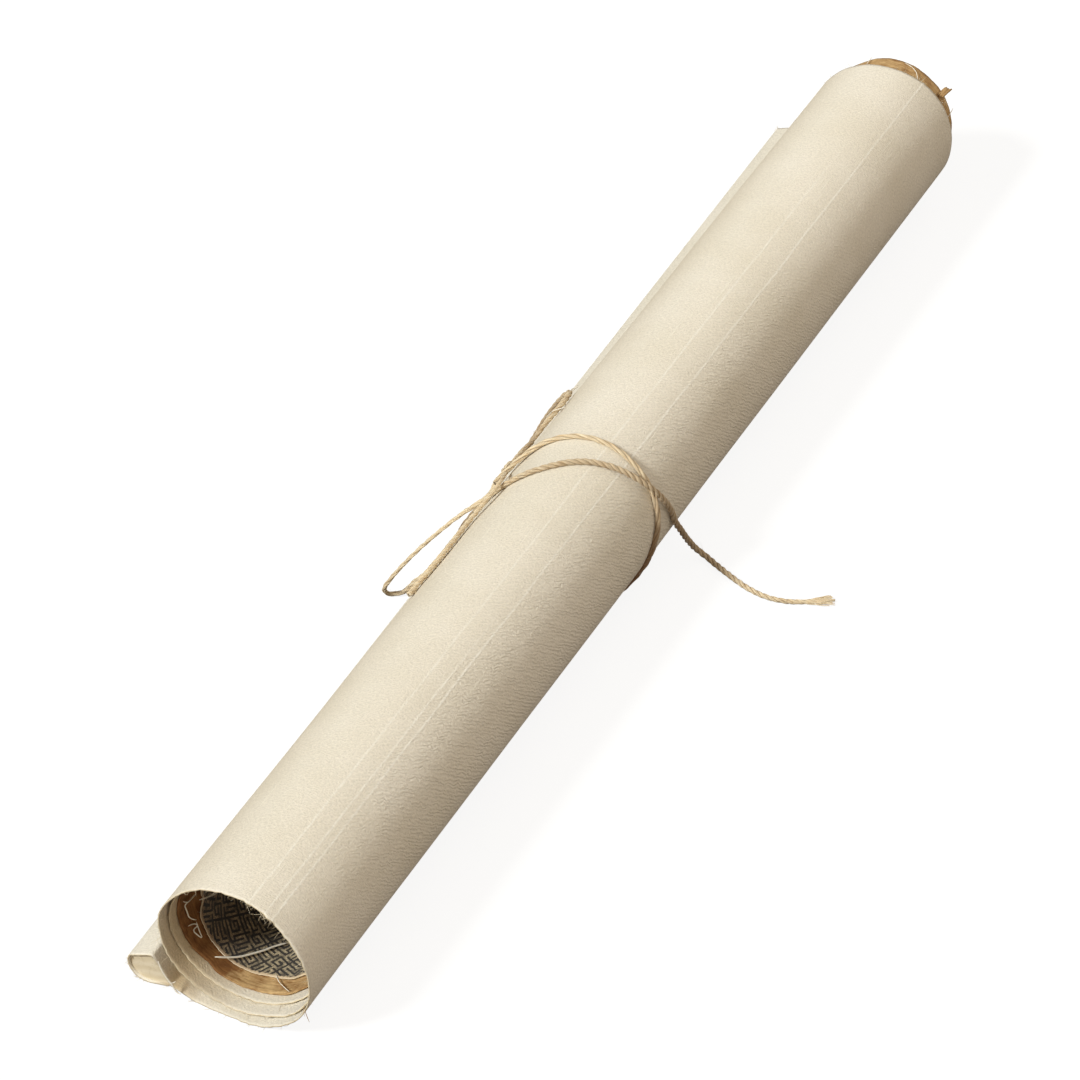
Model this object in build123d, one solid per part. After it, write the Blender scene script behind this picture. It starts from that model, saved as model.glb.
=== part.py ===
from build123d import *
import math
import os

# A hanging scroll, rolled up and lying on a table. From the outside in:
#   cream_sheet    linen-backed paper, 2 2/3 turns; its outer end runs flat along the
#                  table and closes as a hem round the stave
#   brown_paper    one turn of brown lining paper
#   brocade_sheet  one turn of brocade, the innermost, round an empty bore
#   stave          the wooden bar in the hem
#   twine_*        natural twine: a wrap round the bundle, a bow, and a second strand
#                  laid over the roll with two free ends
# Frame: millimetres, the roll's axis along X, near (open) end at -X, stave at +Y,
# table at z = 0.

# ------------------------------------------------------------ driving dimensions
ROLL_R = 26.0          # outside radius of the roll
WIDTH = 454.6          # width of the cream sheet, the roll's length
SHEET = 0.5            # thickness of each sheet
PITCH = 0.9            # sheet and air from one turn to the next
FLAT = 5.0             # width of the flat spot under the roll
CREAM_TURNS = 2.64
BROWN_TURNS = 1.03
BROCADE_TURNS = 1.03
SHEET_GAP = 0.03       # share of a turn left between the end of one sheet and the next

# ends of the turns: each turn sits a little further along +X than the one outside it
NEAR_STEP = 4.2        # how far one turn is set back from the next at the near end
NEAR_CONE_R = 25.4     # the setback starts at this radius
CREAM_FAR = (1.3, 4.0, 140.0)    # far rim past WIDTH / 2: mean, lean, and the side (deg) it leans to
BROWN_FAR = (6.8, 6.0, 118.0)
BROCADE_FAR = (-3.0, 0.0, 0.0)

# hem and stave, a quarter-round bar standing on its round side
HEM_ARC_R = 6.25       # radius of the rounded side, over the cloth
HEM_ARC_Y = 31.6       # its centre at the near end
HEM_ARC_Z = 6.25
HEM_HEEL = (23.0, 1.7)           # corner that the sheet reaches first
HEM_RIDGE = (29.2, 12.6)         # top corner, towards the roll
TAIL_LIFT_Y = 15.0     # the sheet lies flat up to here, then rises to the heel
HEM_SKEW = 0.62        # degrees the hem runs out of line with the roll
HEM_NEAR = -226.8      # ends of the hem along X
HEM_FAR = 233.0
STAVE_GAP = 0.08       # clearance between wood and cloth
STAVE_INSET = 1.0      # the wood ends this far inside the hem

TWINE = 2.3            # twine diameter
CLEAR = 0.1            # air under a strand
PRESSED = (4.6, 0.84)  # the strand's section where the roll presses it flat
PRESSED_Z = TWINE / 2 + 0.02     # height of a strand that lies on the table
KNOT = (9.0, 5.6, 3.6)           # length along X, across, and height of the bow's knot
KNOT_X, KNOT_DEG = -12.5, 33.5

ROLL_Z = math.sqrt(ROLL_R**2 - (FLAT / 2) ** 2)   # axis height with the flat spot cut
NEAR_X = -WIDTH / 2 - 0.4
FAR_X = WIDTH / 2


# ------------------------------------------------------------ rolled sheets
def roll_arc(half_turn, inset):
    """Centre height and radius of one half turn.

    A spiral of semicircles: odd ones are centred half a pitch higher than even
    ones, so each meets the next in line at the top or the bottom of the roll.
    """
    centre = ROLL_Z + (PITCH / 2 if half_turn % 2 else 0.0)
    return centre, ROLL_R - half_turn * PITCH / 2 - inset


def rolled_sheet(start, end, x0, x1):
    """Solid sheet between two places of the spiral (in turns), from x0 to x1."""
    breaks = [start] + [h / 2 for h in range(int(start * 2) + 1, math.ceil(end * 2)) if start < h / 2 < end] + [end]
    sheet = None
    for a, b in zip(breaks, breaks[1:]):
        half = int((a + b) / 2 * 2)
        lines = []
        for inset in (0.0, SHEET):
            centre, radius = roll_arc(half, inset)
            at = lambda t: (radius * math.cos(math.radians(270 - 360 * t)),
                            centre + radius * math.sin(math.radians(270 - 360 * t)))
            lines.append((at(a), at((a + b) / 2), at(b)))
        outer, inner = lines
        with BuildSketch(Plane.YZ.offset(x0)) as band:
            with BuildLine():
                ThreePointArc(*outer)
                Line(outer[2], inner[2])
                ThreePointArc(*reversed(inner))
                Line(inner[0], outer[0])
            make_face()
        piece = extrude(band.sketch, amount=x1 - x0)
        sheet = piece if sheet is None else sheet + piece
    return sheet


def far_cut(mean, lean, side):
    """Block beyond a far rim that leans towards one side of the roll."""
    tilt = math.degrees(math.atan2(lean, ROLL_R))
    block = Box(80, 140, 140, align=(Align.MIN, Align.CENTER, Align.CENTER))
    # turn about Y leans the face up the +Z side; then turn that side round X
    block = Rot(0, tilt, 0) * block
    block = Rot(side - 90, 0, 0) * block
    return Pos(FAR_X + mean, 0, ROLL_Z) * block


near_cone = Pos(NEAR_X, 0, ROLL_Z) * Rot(0, 90, 0) * Cone(
    NEAR_CONE_R, 0, NEAR_CONE_R * NEAR_STEP / PITCH, align=(Align.CENTER, Align.CENTER, Align.MIN))
below_table = Box(700, 200, 40, align=(Align.CENTER, Align.CENTER, Align.MAX))

turn = 0.0
rolled = {}
for name, turns, far in (("cream_sheet", CREAM_TURNS, CREAM_FAR),
                         ("brown_paper", BROWN_TURNS, BROWN_FAR),
                         ("brocade_sheet", BROCADE_TURNS, BROCADE_FAR)):
    solid = rolled_sheet(turn, turn + turns, NEAR_X, FAR_X + 20)
    rolled[name] = solid - near_cone - far_cut(*far)
    turn += turns + SHEET_GAP
inner_r = ROLL_R - turn * PITCH - SHEET

# ------------------------------------------------------------ hem, tail and stave
def hem_section(inset):
    """Quarter-round outline of the hem in Y and Z, moved in by `inset`."""
    arc_r = HEM_ARC_R - inset
    centre = (HEM_ARC_Y, HEM_ARC_Z)
    polar = lambda deg: (centre[0] + arc_r * math.cos(math.radians(deg)),
                         centre[1] + arc_r * math.sin(math.radians(deg)))
    # straight sides moved in along their normals
    heel, ridge = Vector(*HEM_HEEL), Vector(*HEM_RIDGE)
    shoulder = Vector(HEM_ARC_Y + HEM_ARC_R * math.cos(math.radians(28)),
                      HEM_ARC_Z + HEM_ARC_R * math.sin(math.radians(28)))
    foot = Vector(HEM_ARC_Y + HEM_ARC_R * math.cos(math.radians(-101)),
                  HEM_ARC_Z + HEM_ARC_R * math.sin(math.radians(-101)))
    sides = []
    for a, b in ((foot, heel), (heel, ridge), (ridge, shoulder)):
        along = (b - a).normalized()
        normal = Vector(along.Y, -along.X)      # points into the section
        sides.append((a + normal * inset, b + normal * inset))

    def meet(first, second):
        (p, q), (r, s) = first, second
        d1, d2, gap = q - p, s - r, r - p
        return p + d1 * ((gap.X * d2.Y - gap.Y * d2.X) / (d1.X * d2.Y - d1.Y * d2.X))

    heel_in, ridge_in = meet(sides[0], sides[1]), meet(sides[1], sides[2])
    with BuildSketch(Plane.YZ.offset(HEM_NEAR - 20)) as section:
        with BuildLine():
            CenterArc(centre, arc_r, -101, 129)
            Line(polar(28), (ridge_in.X, ridge_in.Y))
            Line((ridge_in.X, ridge_in.Y), (heel_in.X, heel_in.Y))
            Line((heel_in.X, heel_in.Y), polar(-101))
        make_face()
    return section.sketch


def skewed(shape):
    """Turn a hem part about the near end so that it drifts away from the roll."""
    return shape.rotate(Axis((HEM_NEAR, 0, 0), (0, 0, 1)), HEM_SKEW)


hem_length = HEM_FAR - HEM_NEAR + 40
hem = extrude(hem_section(0), amount=hem_length) - extrude(hem_section(SHEET), amount=hem_length)
with BuildSketch(Plane.YZ.offset(HEM_NEAR - 20)) as rise:
    with BuildLine():
        Polyline((TAIL_LIFT_Y - 2, 0), (TAIL_LIFT_Y, 0), (HEM_HEEL[0] + 0.45, HEM_HEEL[1] - 0.1),
                 (HEM_HEEL[0] + 0.1, HEM_HEEL[1] + 0.62), (TAIL_LIFT_Y - 0.1, SHEET),
                 (TAIL_LIFT_Y - 2, SHEET), close=True)
    make_face()
hem = skewed(hem + extrude(rise.sketch, amount=hem_length))
hem &= Pos((HEM_NEAR + HEM_FAR) / 2, 0, 0) * Box(HEM_FAR - HEM_NEAR, 200, 100)

tail_far = HEM_FAR - 4.0
skew_far = (tail_far - HEM_NEAR) * math.tan(math.radians(HEM_SKEW))
with BuildSketch(Plane.XY) as tail_plan:
    with BuildLine():
        Polyline((NEAR_X, 0), (tail_far, 0), (tail_far, TAIL_LIFT_Y - 1 + skew_far),
                 (HEM_NEAR, TAIL_LIFT_Y - 1), (NEAR_X, 8), close=True)
    make_face()
tail = extrude(tail_plan.sketch, amount=SHEET)

stave = skewed(extrude(hem_section(SHEET + STAVE_GAP), amount=hem_length))
stave &= Pos((HEM_NEAR + HEM_FAR) / 2, 0, 0) * Box(HEM_FAR - HEM_NEAR - 2 * STAVE_INSET, 200, 100)


# ------------------------------------------------------------ twine
def on_roll(x, deg, lift=0.0):
    """Strand centre resting on the roll at an angle from +Y, `lift` above it."""
    r = (ROLL_R + TWINE / 2 + CLEAR + lift)
    return Vector(x, r * math.cos(math.radians(deg)), ROLL_Z + r * math.sin(math.radians(deg)))


def corner(x, deg, step=22.5, lift=0.0):
    """Corner of a polygon round the roll whose sides just clear the paper."""
    r = (ROLL_R + TWINE / 2 + CLEAR + lift) / math.cos(math.radians(step / 2))
    return Vector(x, r * math.cos(math.radians(deg)), ROLL_Z + r * math.sin(math.radians(deg)))


def oval(width, height):
    """Eight-sided section of a strand."""
    turns = [math.radians(22.5 + 45 * k) for k in range(8)]
    return Polygon(*[(width / 2 * math.cos(t), height / 2 * math.sin(t)) for t in turns], align=None)


def strand(name, points, side=None):
    """Strand along straight runs joined by tangent arcs, each as large as its runs allow."""
    points = [Vector(*p) for p in points]
    radii = []
    for a, b, c in zip(points, points[1:], points[2:]):
        turning = (b - a).get_angle(c - b)
        shorter = min((b - a).length, (c - b).length)
        radii.append(0.45 * shorter / math.tan(math.radians(turning / 2)))
    path = FilletPolyline(*points, radius=radii)
    section = Plane(origin=path @ 0, x_dir=side, z_dir=path % 0) * oval(TWINE, TWINE)
    tube = sweep(section, path=path)
    length = path.length
    print(f"{name}: length {length:.1f}, volume {tube.volume:.1f} of {math.pi * TWINE**2 / 4 * length:.1f}, "
          f"smallest radius {min(radii):.1f}, radii {[round(r, 1) for r in radii]}")
    return tube


# wrap: from the knot over the top and down the -Y side, pressed flat under the roll and
# the hem, and up the outside of the stave to the knot again
down = [on_roll(-12.6, 38.5)] + [corner(x, deg) for x, deg in (
    (-4.2, 55), (-0.8, 77.5), (0.5, 100), (0.2, 122.5), (-1.2, 145), (-4.2, 167.5), (-9.0, 190),
    (-13.5, 212.5))] + [Vector(-16.7, -16.2, 3.0), Vector(-18.2, -11.7, PRESSED_Z)]
stave_y = HEM_ARC_Y + (-12 - HEM_NEAR) * math.tan(math.radians(HEM_SKEW))
round_stave = lambda x, deg, r: Vector(x, stave_y + r * math.cos(math.radians(deg)),
                                       HEM_ARC_Z + r * math.sin(math.radians(deg)))
up = [Vector(-11.6, stave_y + 6.6, PRESSED_Z), round_stave(-11.4, -14, 8.6), round_stave(-11.4, 14, 8.1),
      on_roll(-13.2, 30, 0.8)]
run_a, run_b = down[-1], up[0]
level_a, level_b = Vector(run_a.X, run_a.Y, 0), Vector(run_b.X, run_b.Y, 0)
across = (level_b - level_a).normalized()
side = Vector(across.Y, -across.X, 0)
wrap_down = strand("wrap, down", down[::-1], side)
wrap_up = strand("wrap, up", up, side)


def pressed_end(point, direction, reach):
    """Full section at `point` easing into the pressed section `reach` further on."""
    far = Vector(point.X, point.Y, PRESSED[1] / 2 + 0.01) + direction * reach
    first = Plane(origin=point, x_dir=side, z_dir=direction) * oval(TWINE, TWINE)
    last = Plane(origin=far, x_dir=side, z_dir=direction) * oval(*PRESSED)
    return loft([first, last]), far


ease_a, flat_a = pressed_end(run_a, across, 3.2)
ease_b, flat_b = pressed_end(run_b, -across, 3.2)
flat_run = extrude(Plane(origin=flat_a, x_dir=side, z_dir=across) * oval(*PRESSED),
                   amount=(flat_b - flat_a).length)
twine_wrap = wrap_down + ease_a + flat_run + ease_b + wrap_up

# the groove that the pressed strand makes in the cloth and the stave
groove_mid = (level_a + level_b) * 0.5
groove = Pos(groove_mid.X, groove_mid.Y, 0) * Rot(0, 0, math.degrees(math.atan2(across.Y, across.X)) - 90) * \
    Box(PRESSED[0] + 0.5, (level_b - level_a).length - 0.4, PRESSED[1] + 0.08,
        align=(Align.CENTER, Align.CENTER, Align.MIN))

# second strand, laid slantwise over the roll and over the wrap
OVER = ((-23.9, 58, 0.3), (-18.9, 75, 0), (-12.4, 92, 0), (-7.6, 109, 0.3),
        (-4.0, 126, 1.6), (-0.9, 142, 2.5), (2.0, 157, 1.5), (5.2, 171, 0.2))
over_start, over_end = on_roll(-28.0, 40), on_roll(7.2, 180)
over = [over_start] + [corner(x, deg, 17, lift) for x, deg, lift in OVER] + [over_end]
twine_over = strand("over the roll", over)

# free stretches: places that the strand bends round
TAIL_END = ((11.6, -27.8, 16.9), (15.0, -28.6, 10.4), (18.6, -29.8, 4.4), (20.0, -33.0, 1.25),
            (17.6, -38.2, 1.17), (14.6, -45.0, 1.17), (11.6, -53.2, 1.17), (10.9, -62.0, 1.17),
            (14.0, -70.6, 1.17), (20.0, -79.4, 1.17))
# the slanted strand goes on as the near loop: off the roll, over the hem to the table and back to the knot
NEAR_LOOP = ((-34.4, 28.1, 36.9), (-37.4, 33.1, 31.2), (-40.2, 38.2, 24.9), (-42.8, 43.1, 18.1),
             (-44.8, 46.9, 12.1), (-46.4, 49.4, 7.6), (-45.7, 50.9, 3.9), (-44.1, 49.9, 1.4),
             (-41.9, 47.8, 1.1), (-40.3, 45.1, 3.6), (-40.6, 41.5, 9.6), (-39.6, 38.2, 12.5),
             (-36.0, 34.2, 14.0), (-29.5, 31.8, 17.6), (-24.4, 30.0, 22.8), (-20.6, 27.9, 28.8),
             (-18.2, 25.8, 34.8), (-16.0, 24.2, 39.6))
# on the roll, as (x, angle, lift): the far loop, out and back, and the short end, which crosses the slanted strand
FAR_LOOP = ((-9.5, 34.5, 0.3), (-3.0, 35.0, 0.1), (4.0, 37.5, 0.1), (12.0, 40.0, 0.1), (19.0, 39.8, 0.1),
            (24.5, 39.4, 0.1), (28.2, 39.1, 0.2), (29.9, 35.5, 0.4), (29.9, 30.5, 0.4), (28.2, 26.9, 0.2),
            (24.5, 27.0, 0.1), (19.0, 27.4, 0.1), (12.0, 28.4, 0.1), (4.0, 27.5, 0.1), (-3.0, 26.5, 0.1),
            (-9.5, 28.3, 0.3))
SHORT_END = ((-15.6, 37.0, 0.6), (-20.6, 45.5, 1.8), (-26.2, 51.5, 2.8), (-33.4, 47.5, 1.8), (-41.0, 41.5, 0.25),
             (-50.0, 40.5, 0.1), (-60.0, 41.5, 0.1), (-68.0, 40.5, 0.1), (-75.0, 38.0, 0.1), (-81.0, 37.5, 0.1))
run_on = lambda a, b, reach: b + (b - a).normalized() * reach    # point in line past b
twine_tail = strand("tail", [over_end, run_on(over[-2], over_end, 5.0)] + list(TAIL_END))
twine_near_loop = strand("near loop", [over_start, run_on(over[1], over_start, 4.5)] + list(NEAR_LOOP))
twine_far_loop = strand("far loop", [on_roll(*place) for place in FAR_LOOP])
twine_short_end = strand("short end", [on_roll(*place) for place in SHORT_END])

# knot: a rounded block lying along the roll
knot_block = Box(*KNOT)
knot_block = fillet(knot_block.edges().filter_by(Axis.X), 1.6)
knot_r = ROLL_R + CLEAR + KNOT[2] / 2
twine_knot = Pos(KNOT_X, knot_r * math.cos(math.radians(KNOT_DEG)),
                 ROLL_Z + knot_r * math.sin(math.radians(KNOT_DEG))) * Rot(KNOT_DEG - 90, 0, 0) * knot_block
twine_wrap -= twine_knot
twine_near_loop -= twine_knot
twine_far_loop -= twine_knot
twine_short_end -= twine_knot

# ------------------------------------------------------------ trimmed to one another and written
cream_sheet = (rolled["cream_sheet"] - below_table) + tail + hem - groove
nodes = {
    "cream_sheet": cream_sheet,
    "brown_paper": rolled["brown_paper"],
    "brocade_sheet": rolled["brocade_sheet"],
    "stave": stave - groove,
    "twine_wrap": twine_wrap,
    "twine_over": twine_over,
    "twine_knot": twine_knot,
    "twine_tail": twine_tail,
    "twine_short_end": twine_short_end,
    "twine_near_loop": twine_near_loop,
    "twine_far_loop": twine_far_loop,
}

# the origin is the middle of the footprint of all but the twine's free stretches
FREE = ("twine_tail", "twine_short_end", "twine_near_loop", "twine_far_loop")
held = Compound(children=[shape for name, shape in nodes.items() if name not in FREE]).bounding_box()
centre = held.center()
print(f"footprint centre {centre.X:.3f}, {centre.Y:.3f}, height {held.max.Z:.3f}")

os.makedirs("parts", exist_ok=True)
for name, shape in nodes.items():
    solids = shape.solids()
    print(f"{name}: {len(solids)} solid(s), volume {sum(s.volume for s in solids):.1f}, box {shape.bounding_box()}")
    export_step(Pos(-centre.X, -centre.Y, 0) * solids[0], f"parts/{name}.step")
print(f"bore radius {inner_r:.2f}")
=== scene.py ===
# %% [markdown]
# # A rolled hanging scroll
#
# The object is a long strip of cream linen backed with paper, rolled up with a turn of
# brown paper and a turn of brocade inside it. Its outer end runs out from under the roll
# and is hemmed round a wooden stave, and natural twine ties the bundle in a bow.
#
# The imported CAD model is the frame: each piece made here stands where a CAD node stands.
# Every piece is worked out in millimetres round the roll's own axis, and one function
# turns those millimetres into metres in the frame.

# %% Load the frame
import math

import bpy
import numpy as np
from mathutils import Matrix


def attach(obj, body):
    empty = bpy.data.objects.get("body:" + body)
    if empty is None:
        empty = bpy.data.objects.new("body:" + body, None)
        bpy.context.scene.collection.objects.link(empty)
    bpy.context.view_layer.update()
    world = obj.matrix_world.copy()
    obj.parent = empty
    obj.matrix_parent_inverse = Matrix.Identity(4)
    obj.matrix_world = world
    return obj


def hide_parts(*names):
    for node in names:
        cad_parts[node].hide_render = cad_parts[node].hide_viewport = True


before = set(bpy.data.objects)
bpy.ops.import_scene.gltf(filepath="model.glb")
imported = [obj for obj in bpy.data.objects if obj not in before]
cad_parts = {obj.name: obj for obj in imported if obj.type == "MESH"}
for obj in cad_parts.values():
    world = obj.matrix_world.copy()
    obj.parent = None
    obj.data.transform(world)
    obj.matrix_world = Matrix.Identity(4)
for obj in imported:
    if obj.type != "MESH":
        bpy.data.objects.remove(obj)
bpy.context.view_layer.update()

ROLL_R = 26.0            # outside radius of the roll, mm
ROLL_Z = 25.8795         # height of its axis
HALF = 227.3             # half the cream sheet's width
PITCH = 0.9              # from one turn to the next
SHIFT = (-5.888, -7.363, 0.0)   # from the roll's axis to the frame's origin, mm


def metres(points):
    """Millimetres round the roll's axis to metres in the frame: shifted, then divided by 1000."""
    return (np.asarray(points, float) + SHIFT) / 1000


# %% [markdown]
# ## Camera
#
# A long lens a metre and a half away, 41 degrees above the table and looking along the
# roll from its open end. The camera comes first.

# %% Camera
CAMERA_AT = (-1.055122, -0.534270, 1.044390)     # metres in the frame
LOOKS_DOWN, TURNED = 41.37, -62.573              # degrees below level, and round from +Y
LENS, SENSOR = 160.572, 36                       # mm
camera = bpy.data.objects.new("camera", bpy.data.cameras.new("camera"))
bpy.context.scene.collection.objects.link(camera)
bpy.context.scene.camera = camera
camera.location = CAMERA_AT
camera.rotation_euler = (math.radians(90 - LOOKS_DOWN), 0, math.radians(TURNED))
camera.data.lens, camera.data.sensor_width = LENS, SENSOR
camera.data.clip_start, camera.data.clip_end = 0.01, 20
print("camera: %.2f m from the origin" % np.linalg.norm(CAMERA_AT))

# %% [markdown]
# ## Turning formulas into meshes
#
# Most pieces are a grid of points: one parameter runs along the rows and the other
# along the columns. One function joins the grid with four-sided faces and stores a UV
# map in millimetres of the real surface, so that weave and fibres follow the cloth
# round every bend.

# %% Grid surfaces
def grid_faces(rows, cols, round_rows=False, first=0):
    """Four corners for each cell of the grid; round_rows joins each row's last point to its first."""
    i, j = np.meshgrid(np.arange(rows - 1), np.arange(cols - (not round_rows)), indexing="ij")
    k = (j + 1) % cols
    corners = (i * cols + j, i * cols + k, (i + 1) * cols + k, (i + 1) * cols + j)
    return np.stack(corners, -1).reshape(-1, 4) + first


def add_mesh(name, points, faces, uv=None, materials=(), smooth=True):
    """A mesh object at the origin from points in mm, faces by index and a UV for each point in mm."""
    mesh = bpy.data.meshes.new(name)
    faces = faces.tolist() if isinstance(faces, np.ndarray) else faces
    mesh.from_pydata(metres(points).tolist(), [], faces)
    if uv is not None:
        corners = np.empty(len(mesh.loops), int)
        mesh.loops.foreach_get("vertex_index", corners)
        mesh.uv_layers.new(name="cloth_mm").data.foreach_set("uv", np.asarray(uv, float)[corners].ravel())
    mesh.polygons.foreach_set("use_smooth", np.full(len(mesh.polygons), smooth))
    for material in materials:
        mesh.materials.append(material)
    mesh.update()
    piece = bpy.data.objects.new(name, mesh)
    bpy.context.scene.collection.objects.link(piece)
    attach(piece, "root")
    return piece


def keep_with(piece, name, values):
    """Stores one number for each point of a mesh, under a name that its material reads."""
    piece.data.attributes.new(name, "FLOAT", "POINT").data.foreach_set("value", np.ravel(values))


def blend_noise(a, b, seed, octaves=4):
    """Smooth repeatable noise of two arrays, from -1 to 1: a mean of slanted sines, each 1.7 times finer."""
    draw = np.random.default_rng(seed)
    total = 0.0
    for k in range(octaves):
        turn, phase = draw.uniform(0, 2 * math.pi, 2)
        finer = 1.7 ** k
        total = total + np.sin(finer * (a * math.cos(turn) + b * math.sin(turn)) + phase) / octaves
    return total


# %% [markdown]
# ## Materials
#
# A small function adds one node with its settings and its links. Colours are written as
# sRGB hex, and one function turns them to the linear
# values that the shader works in. Most patterns follow their piece's own UV map, which is
# in millimetres, so a noise of scale 0.5 has its blots about 2 mm apart. Wood, cut edges
# and thread read Object coordinates, which are in metres.

# %% Node helper and colours
def linear(code, alpha=1.0):
    """sRGB hex to linear: v/12.92 below 0.04045, otherwise ((v + 0.055)/1.055) to the power 2.4."""
    v = np.array([int(code[k:k + 2], 16) for k in (1, 3, 5)]) / 255
    v = np.where(v <= 0.04045, v / 12.92, ((v + 0.055) / 1.055) ** 2.4)
    return (*v.tolist(), alpha)


def node(tree, kind, inputs=None, **settings):
    """Adds one node with its own settings; inputs are values or sockets, by the input's name or number."""
    made = tree.nodes.new("ShaderNode" + kind)
    for key, value in settings.items():
        setattr(made, key, value)
    for key, value in (inputs or {}).items():
        if isinstance(value, bpy.types.NodeSocket):
            tree.links.new(value, made.inputs[key])
        else:
            made.inputs[key].default_value = value
    return made


def new_material(name, constants):
    """A material with a Principled shader, set to these constants and wired to its output."""
    made = bpy.data.materials.new(name)
    made.use_nodes = True
    tree = made.node_tree
    tree.nodes.clear()
    shader = node(tree, "BsdfPrincipled", constants)
    node(tree, "OutputMaterial", {"Surface": shader.outputs[0]})
    return made, tree, shader


def cover(made, shader, colour, height=None, strength=0.0, deep_mm=0.0):
    """Wires the colour to the shader and, where a height is given, its relief: strength times deep_mm."""
    tree = made.node_tree
    tree.links.new(colour, shader.inputs["Base Color"])
    if height is not None:
        relief = node(tree, "Bump", {"Strength": strength, "Distance": deep_mm / 1000, "Height": height})
        tree.links.new(relief.outputs[0], shader.inputs["Normal"])
    print(made.name, "has", len(tree.nodes), "nodes")


# %% [markdown]
# ## Linen backed with paper
#
# The strip is thin linen pasted on paper: matt, cream, with a plain weave just coarse
# enough to catch the light. Single thick threads, called slubs, stand out along the
# roll and across it. The weave is drawn from two stretched noises, one for each
# direction of thread, since real threads differ in width where a regular grid would
# look printed.

# %% Weave of the cream linen
cream, tree, shader = new_material("cream_linen_paper_woven", {
    "Roughness": 0.85, "Specular IOR Level": 0.25, "Sheen Weight": 0.12, "Sheen Roughness": 0.5})
place = node(tree, "UVMap", uv_map="cloth_mm").outputs[0]
# the real threads are 0.5 mm apart; they are drawn nearly twice as wide so that they show:
# one stretched noise for the threads round the roll and one for those along it
weave = 0.0
for scale, seed, share in (((0.9, 2.3, 1), 11, 1.0), ((2.3, 0.9, 1), 12, 0.8)):
    stretched = node(tree, "Mapping", {0: place, "Scale": scale, "Location": (seed, 3, 0)}).outputs[0]
    wave = node(tree, "TexNoise", {"Vector": stretched, "Scale": 1.0, "Detail": 3.0,
                                   "Roughness": 0.6}).outputs[0]
    weave = node(tree, "Math", {0: wave, 1: share, 2: weave}, operation="MULTIPLY_ADD").outputs[0]

# %% Crepe ripples
# paste leaves them when it dries, aslant to both threads; how deep they are is kept with the
# mesh, because only the shaded flank has them; besides their relief they add painted shading to the colour
RIPPLE_SCALE = 0.27      # a wave texture repeats every pi / 10 / scale
rippled = node(tree, "Attribute", attribute_name="rippled").outputs["Fac"]
aslant = node(tree, "Mapping", {0: place, "Rotation": (0, 0, math.radians(133))},
              vector_type="TEXTURE").outputs[0]
ripple = node(tree, "TexWave", {"Vector": aslant, "Scale": RIPPLE_SCALE, "Distortion": 7.0, "Detail": 2.0,
                                "Detail Scale": 1.4, "Detail Roughness": 0.6},
              wave_type="BANDS", bands_direction="Y").outputs[1]
ripple = node(tree, "MapRange", {0: ripple, 3: -1.0, 4: 1.0}).outputs[0]
print("ripples are %.2f mm apart" % (math.pi / 10 / RIPPLE_SCALE))
# they are broken up along their length every few millimetres
broken = node(tree, "Mapping", {0: aslant, "Scale": (0.16, 0.5, 1)}).outputs[0]
broken = node(tree, "TexNoise", {"Vector": broken, "Scale": 1.0, "Detail": 1.0}).outputs[0]
broken = node(tree, "MapRange", {0: broken, 1: 0.35, 2: 0.6, 3: 0.25, 4: 1.0}).outputs[0]
ripple = node(tree, "Math", {0: ripple, 1: broken}, operation="MULTIPLY").outputs[0]
ripple = node(tree, "Math", {0: ripple, 1: rippled}, operation="MULTIPLY").outputs[0]

# %% Slubs, stains and specks
# slubs are rare thick threads, found where a slower noise passes a threshold; long ones run
# along the roll, short ones round it
slubs = []
for scale, seed, least in (((1.3, 0.03, 1), 21, 0.665), ((0.10, 1.3, 1), 22, 0.70)):
    stretched = node(tree, "Mapping", {0: place, "Scale": scale, "Location": (seed, 5, 0)}).outputs[0]
    wave = node(tree, "TexNoise", {"Vector": stretched, "Scale": 1.0, "Detail": 1.5}).outputs[0]
    slubs.append(node(tree, "MapRange", {0: wave, 1: least, 2: least + 0.09, 3: 0.0, 4: 0.7}).outputs[0])
slub = node(tree, "Math", {0: slubs[0], 1: slubs[1]}, operation="MAXIMUM").outputs[0]
# slow stains of age, a hand's breadth wide, and specks a millimetre across
age = node(tree, "TexNoise", {"Vector": place, "Scale": 0.022, "Detail": 5.0, "Roughness": 0.62}).outputs[0]
specks = node(tree, "TexNoise", {"Vector": place, "Scale": 0.42, "Detail": 3.0, "Roughness": 0.7}).outputs[0]
speck = node(tree, "MapRange", {0: specks, 1: 0.735, 2: 0.80, 3: 0.0, 4: 0.4}).outputs[0]
tone = node(tree, "MapRange", {0: age, 1: 0.35, 2: 0.65, 3: 0.0, 4: 1.0}).outputs[0]

# %% Colour and relief of the cream linen
cloth = node(tree, "Mix", {0: tone, 6: linear("#EFE8DA"), 7: linear("#E8E0CF")}, data_type="RGBA").outputs[2]
grain = node(tree, "MapRange", {0: weave, 1: 0.6, 2: 1.2, 3: 0.83, 4: 1.12}).outputs[0]
# the ripples lighten and darken the colour a little: painted shading of their relief
grain = node(tree, "Math", {0: ripple, 1: 0.07, 2: grain}, operation="MULTIPLY_ADD").outputs[0]
cloth = node(tree, "Mix", {0: 1.0, 6: cloth, 7: grain}, data_type="RGBA", blend_type="MULTIPLY").outputs[2]
cloth = node(tree, "Mix", {0: slub, 6: cloth, 7: linear("#F6F0E0")}, data_type="RGBA").outputs[2]
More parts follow.
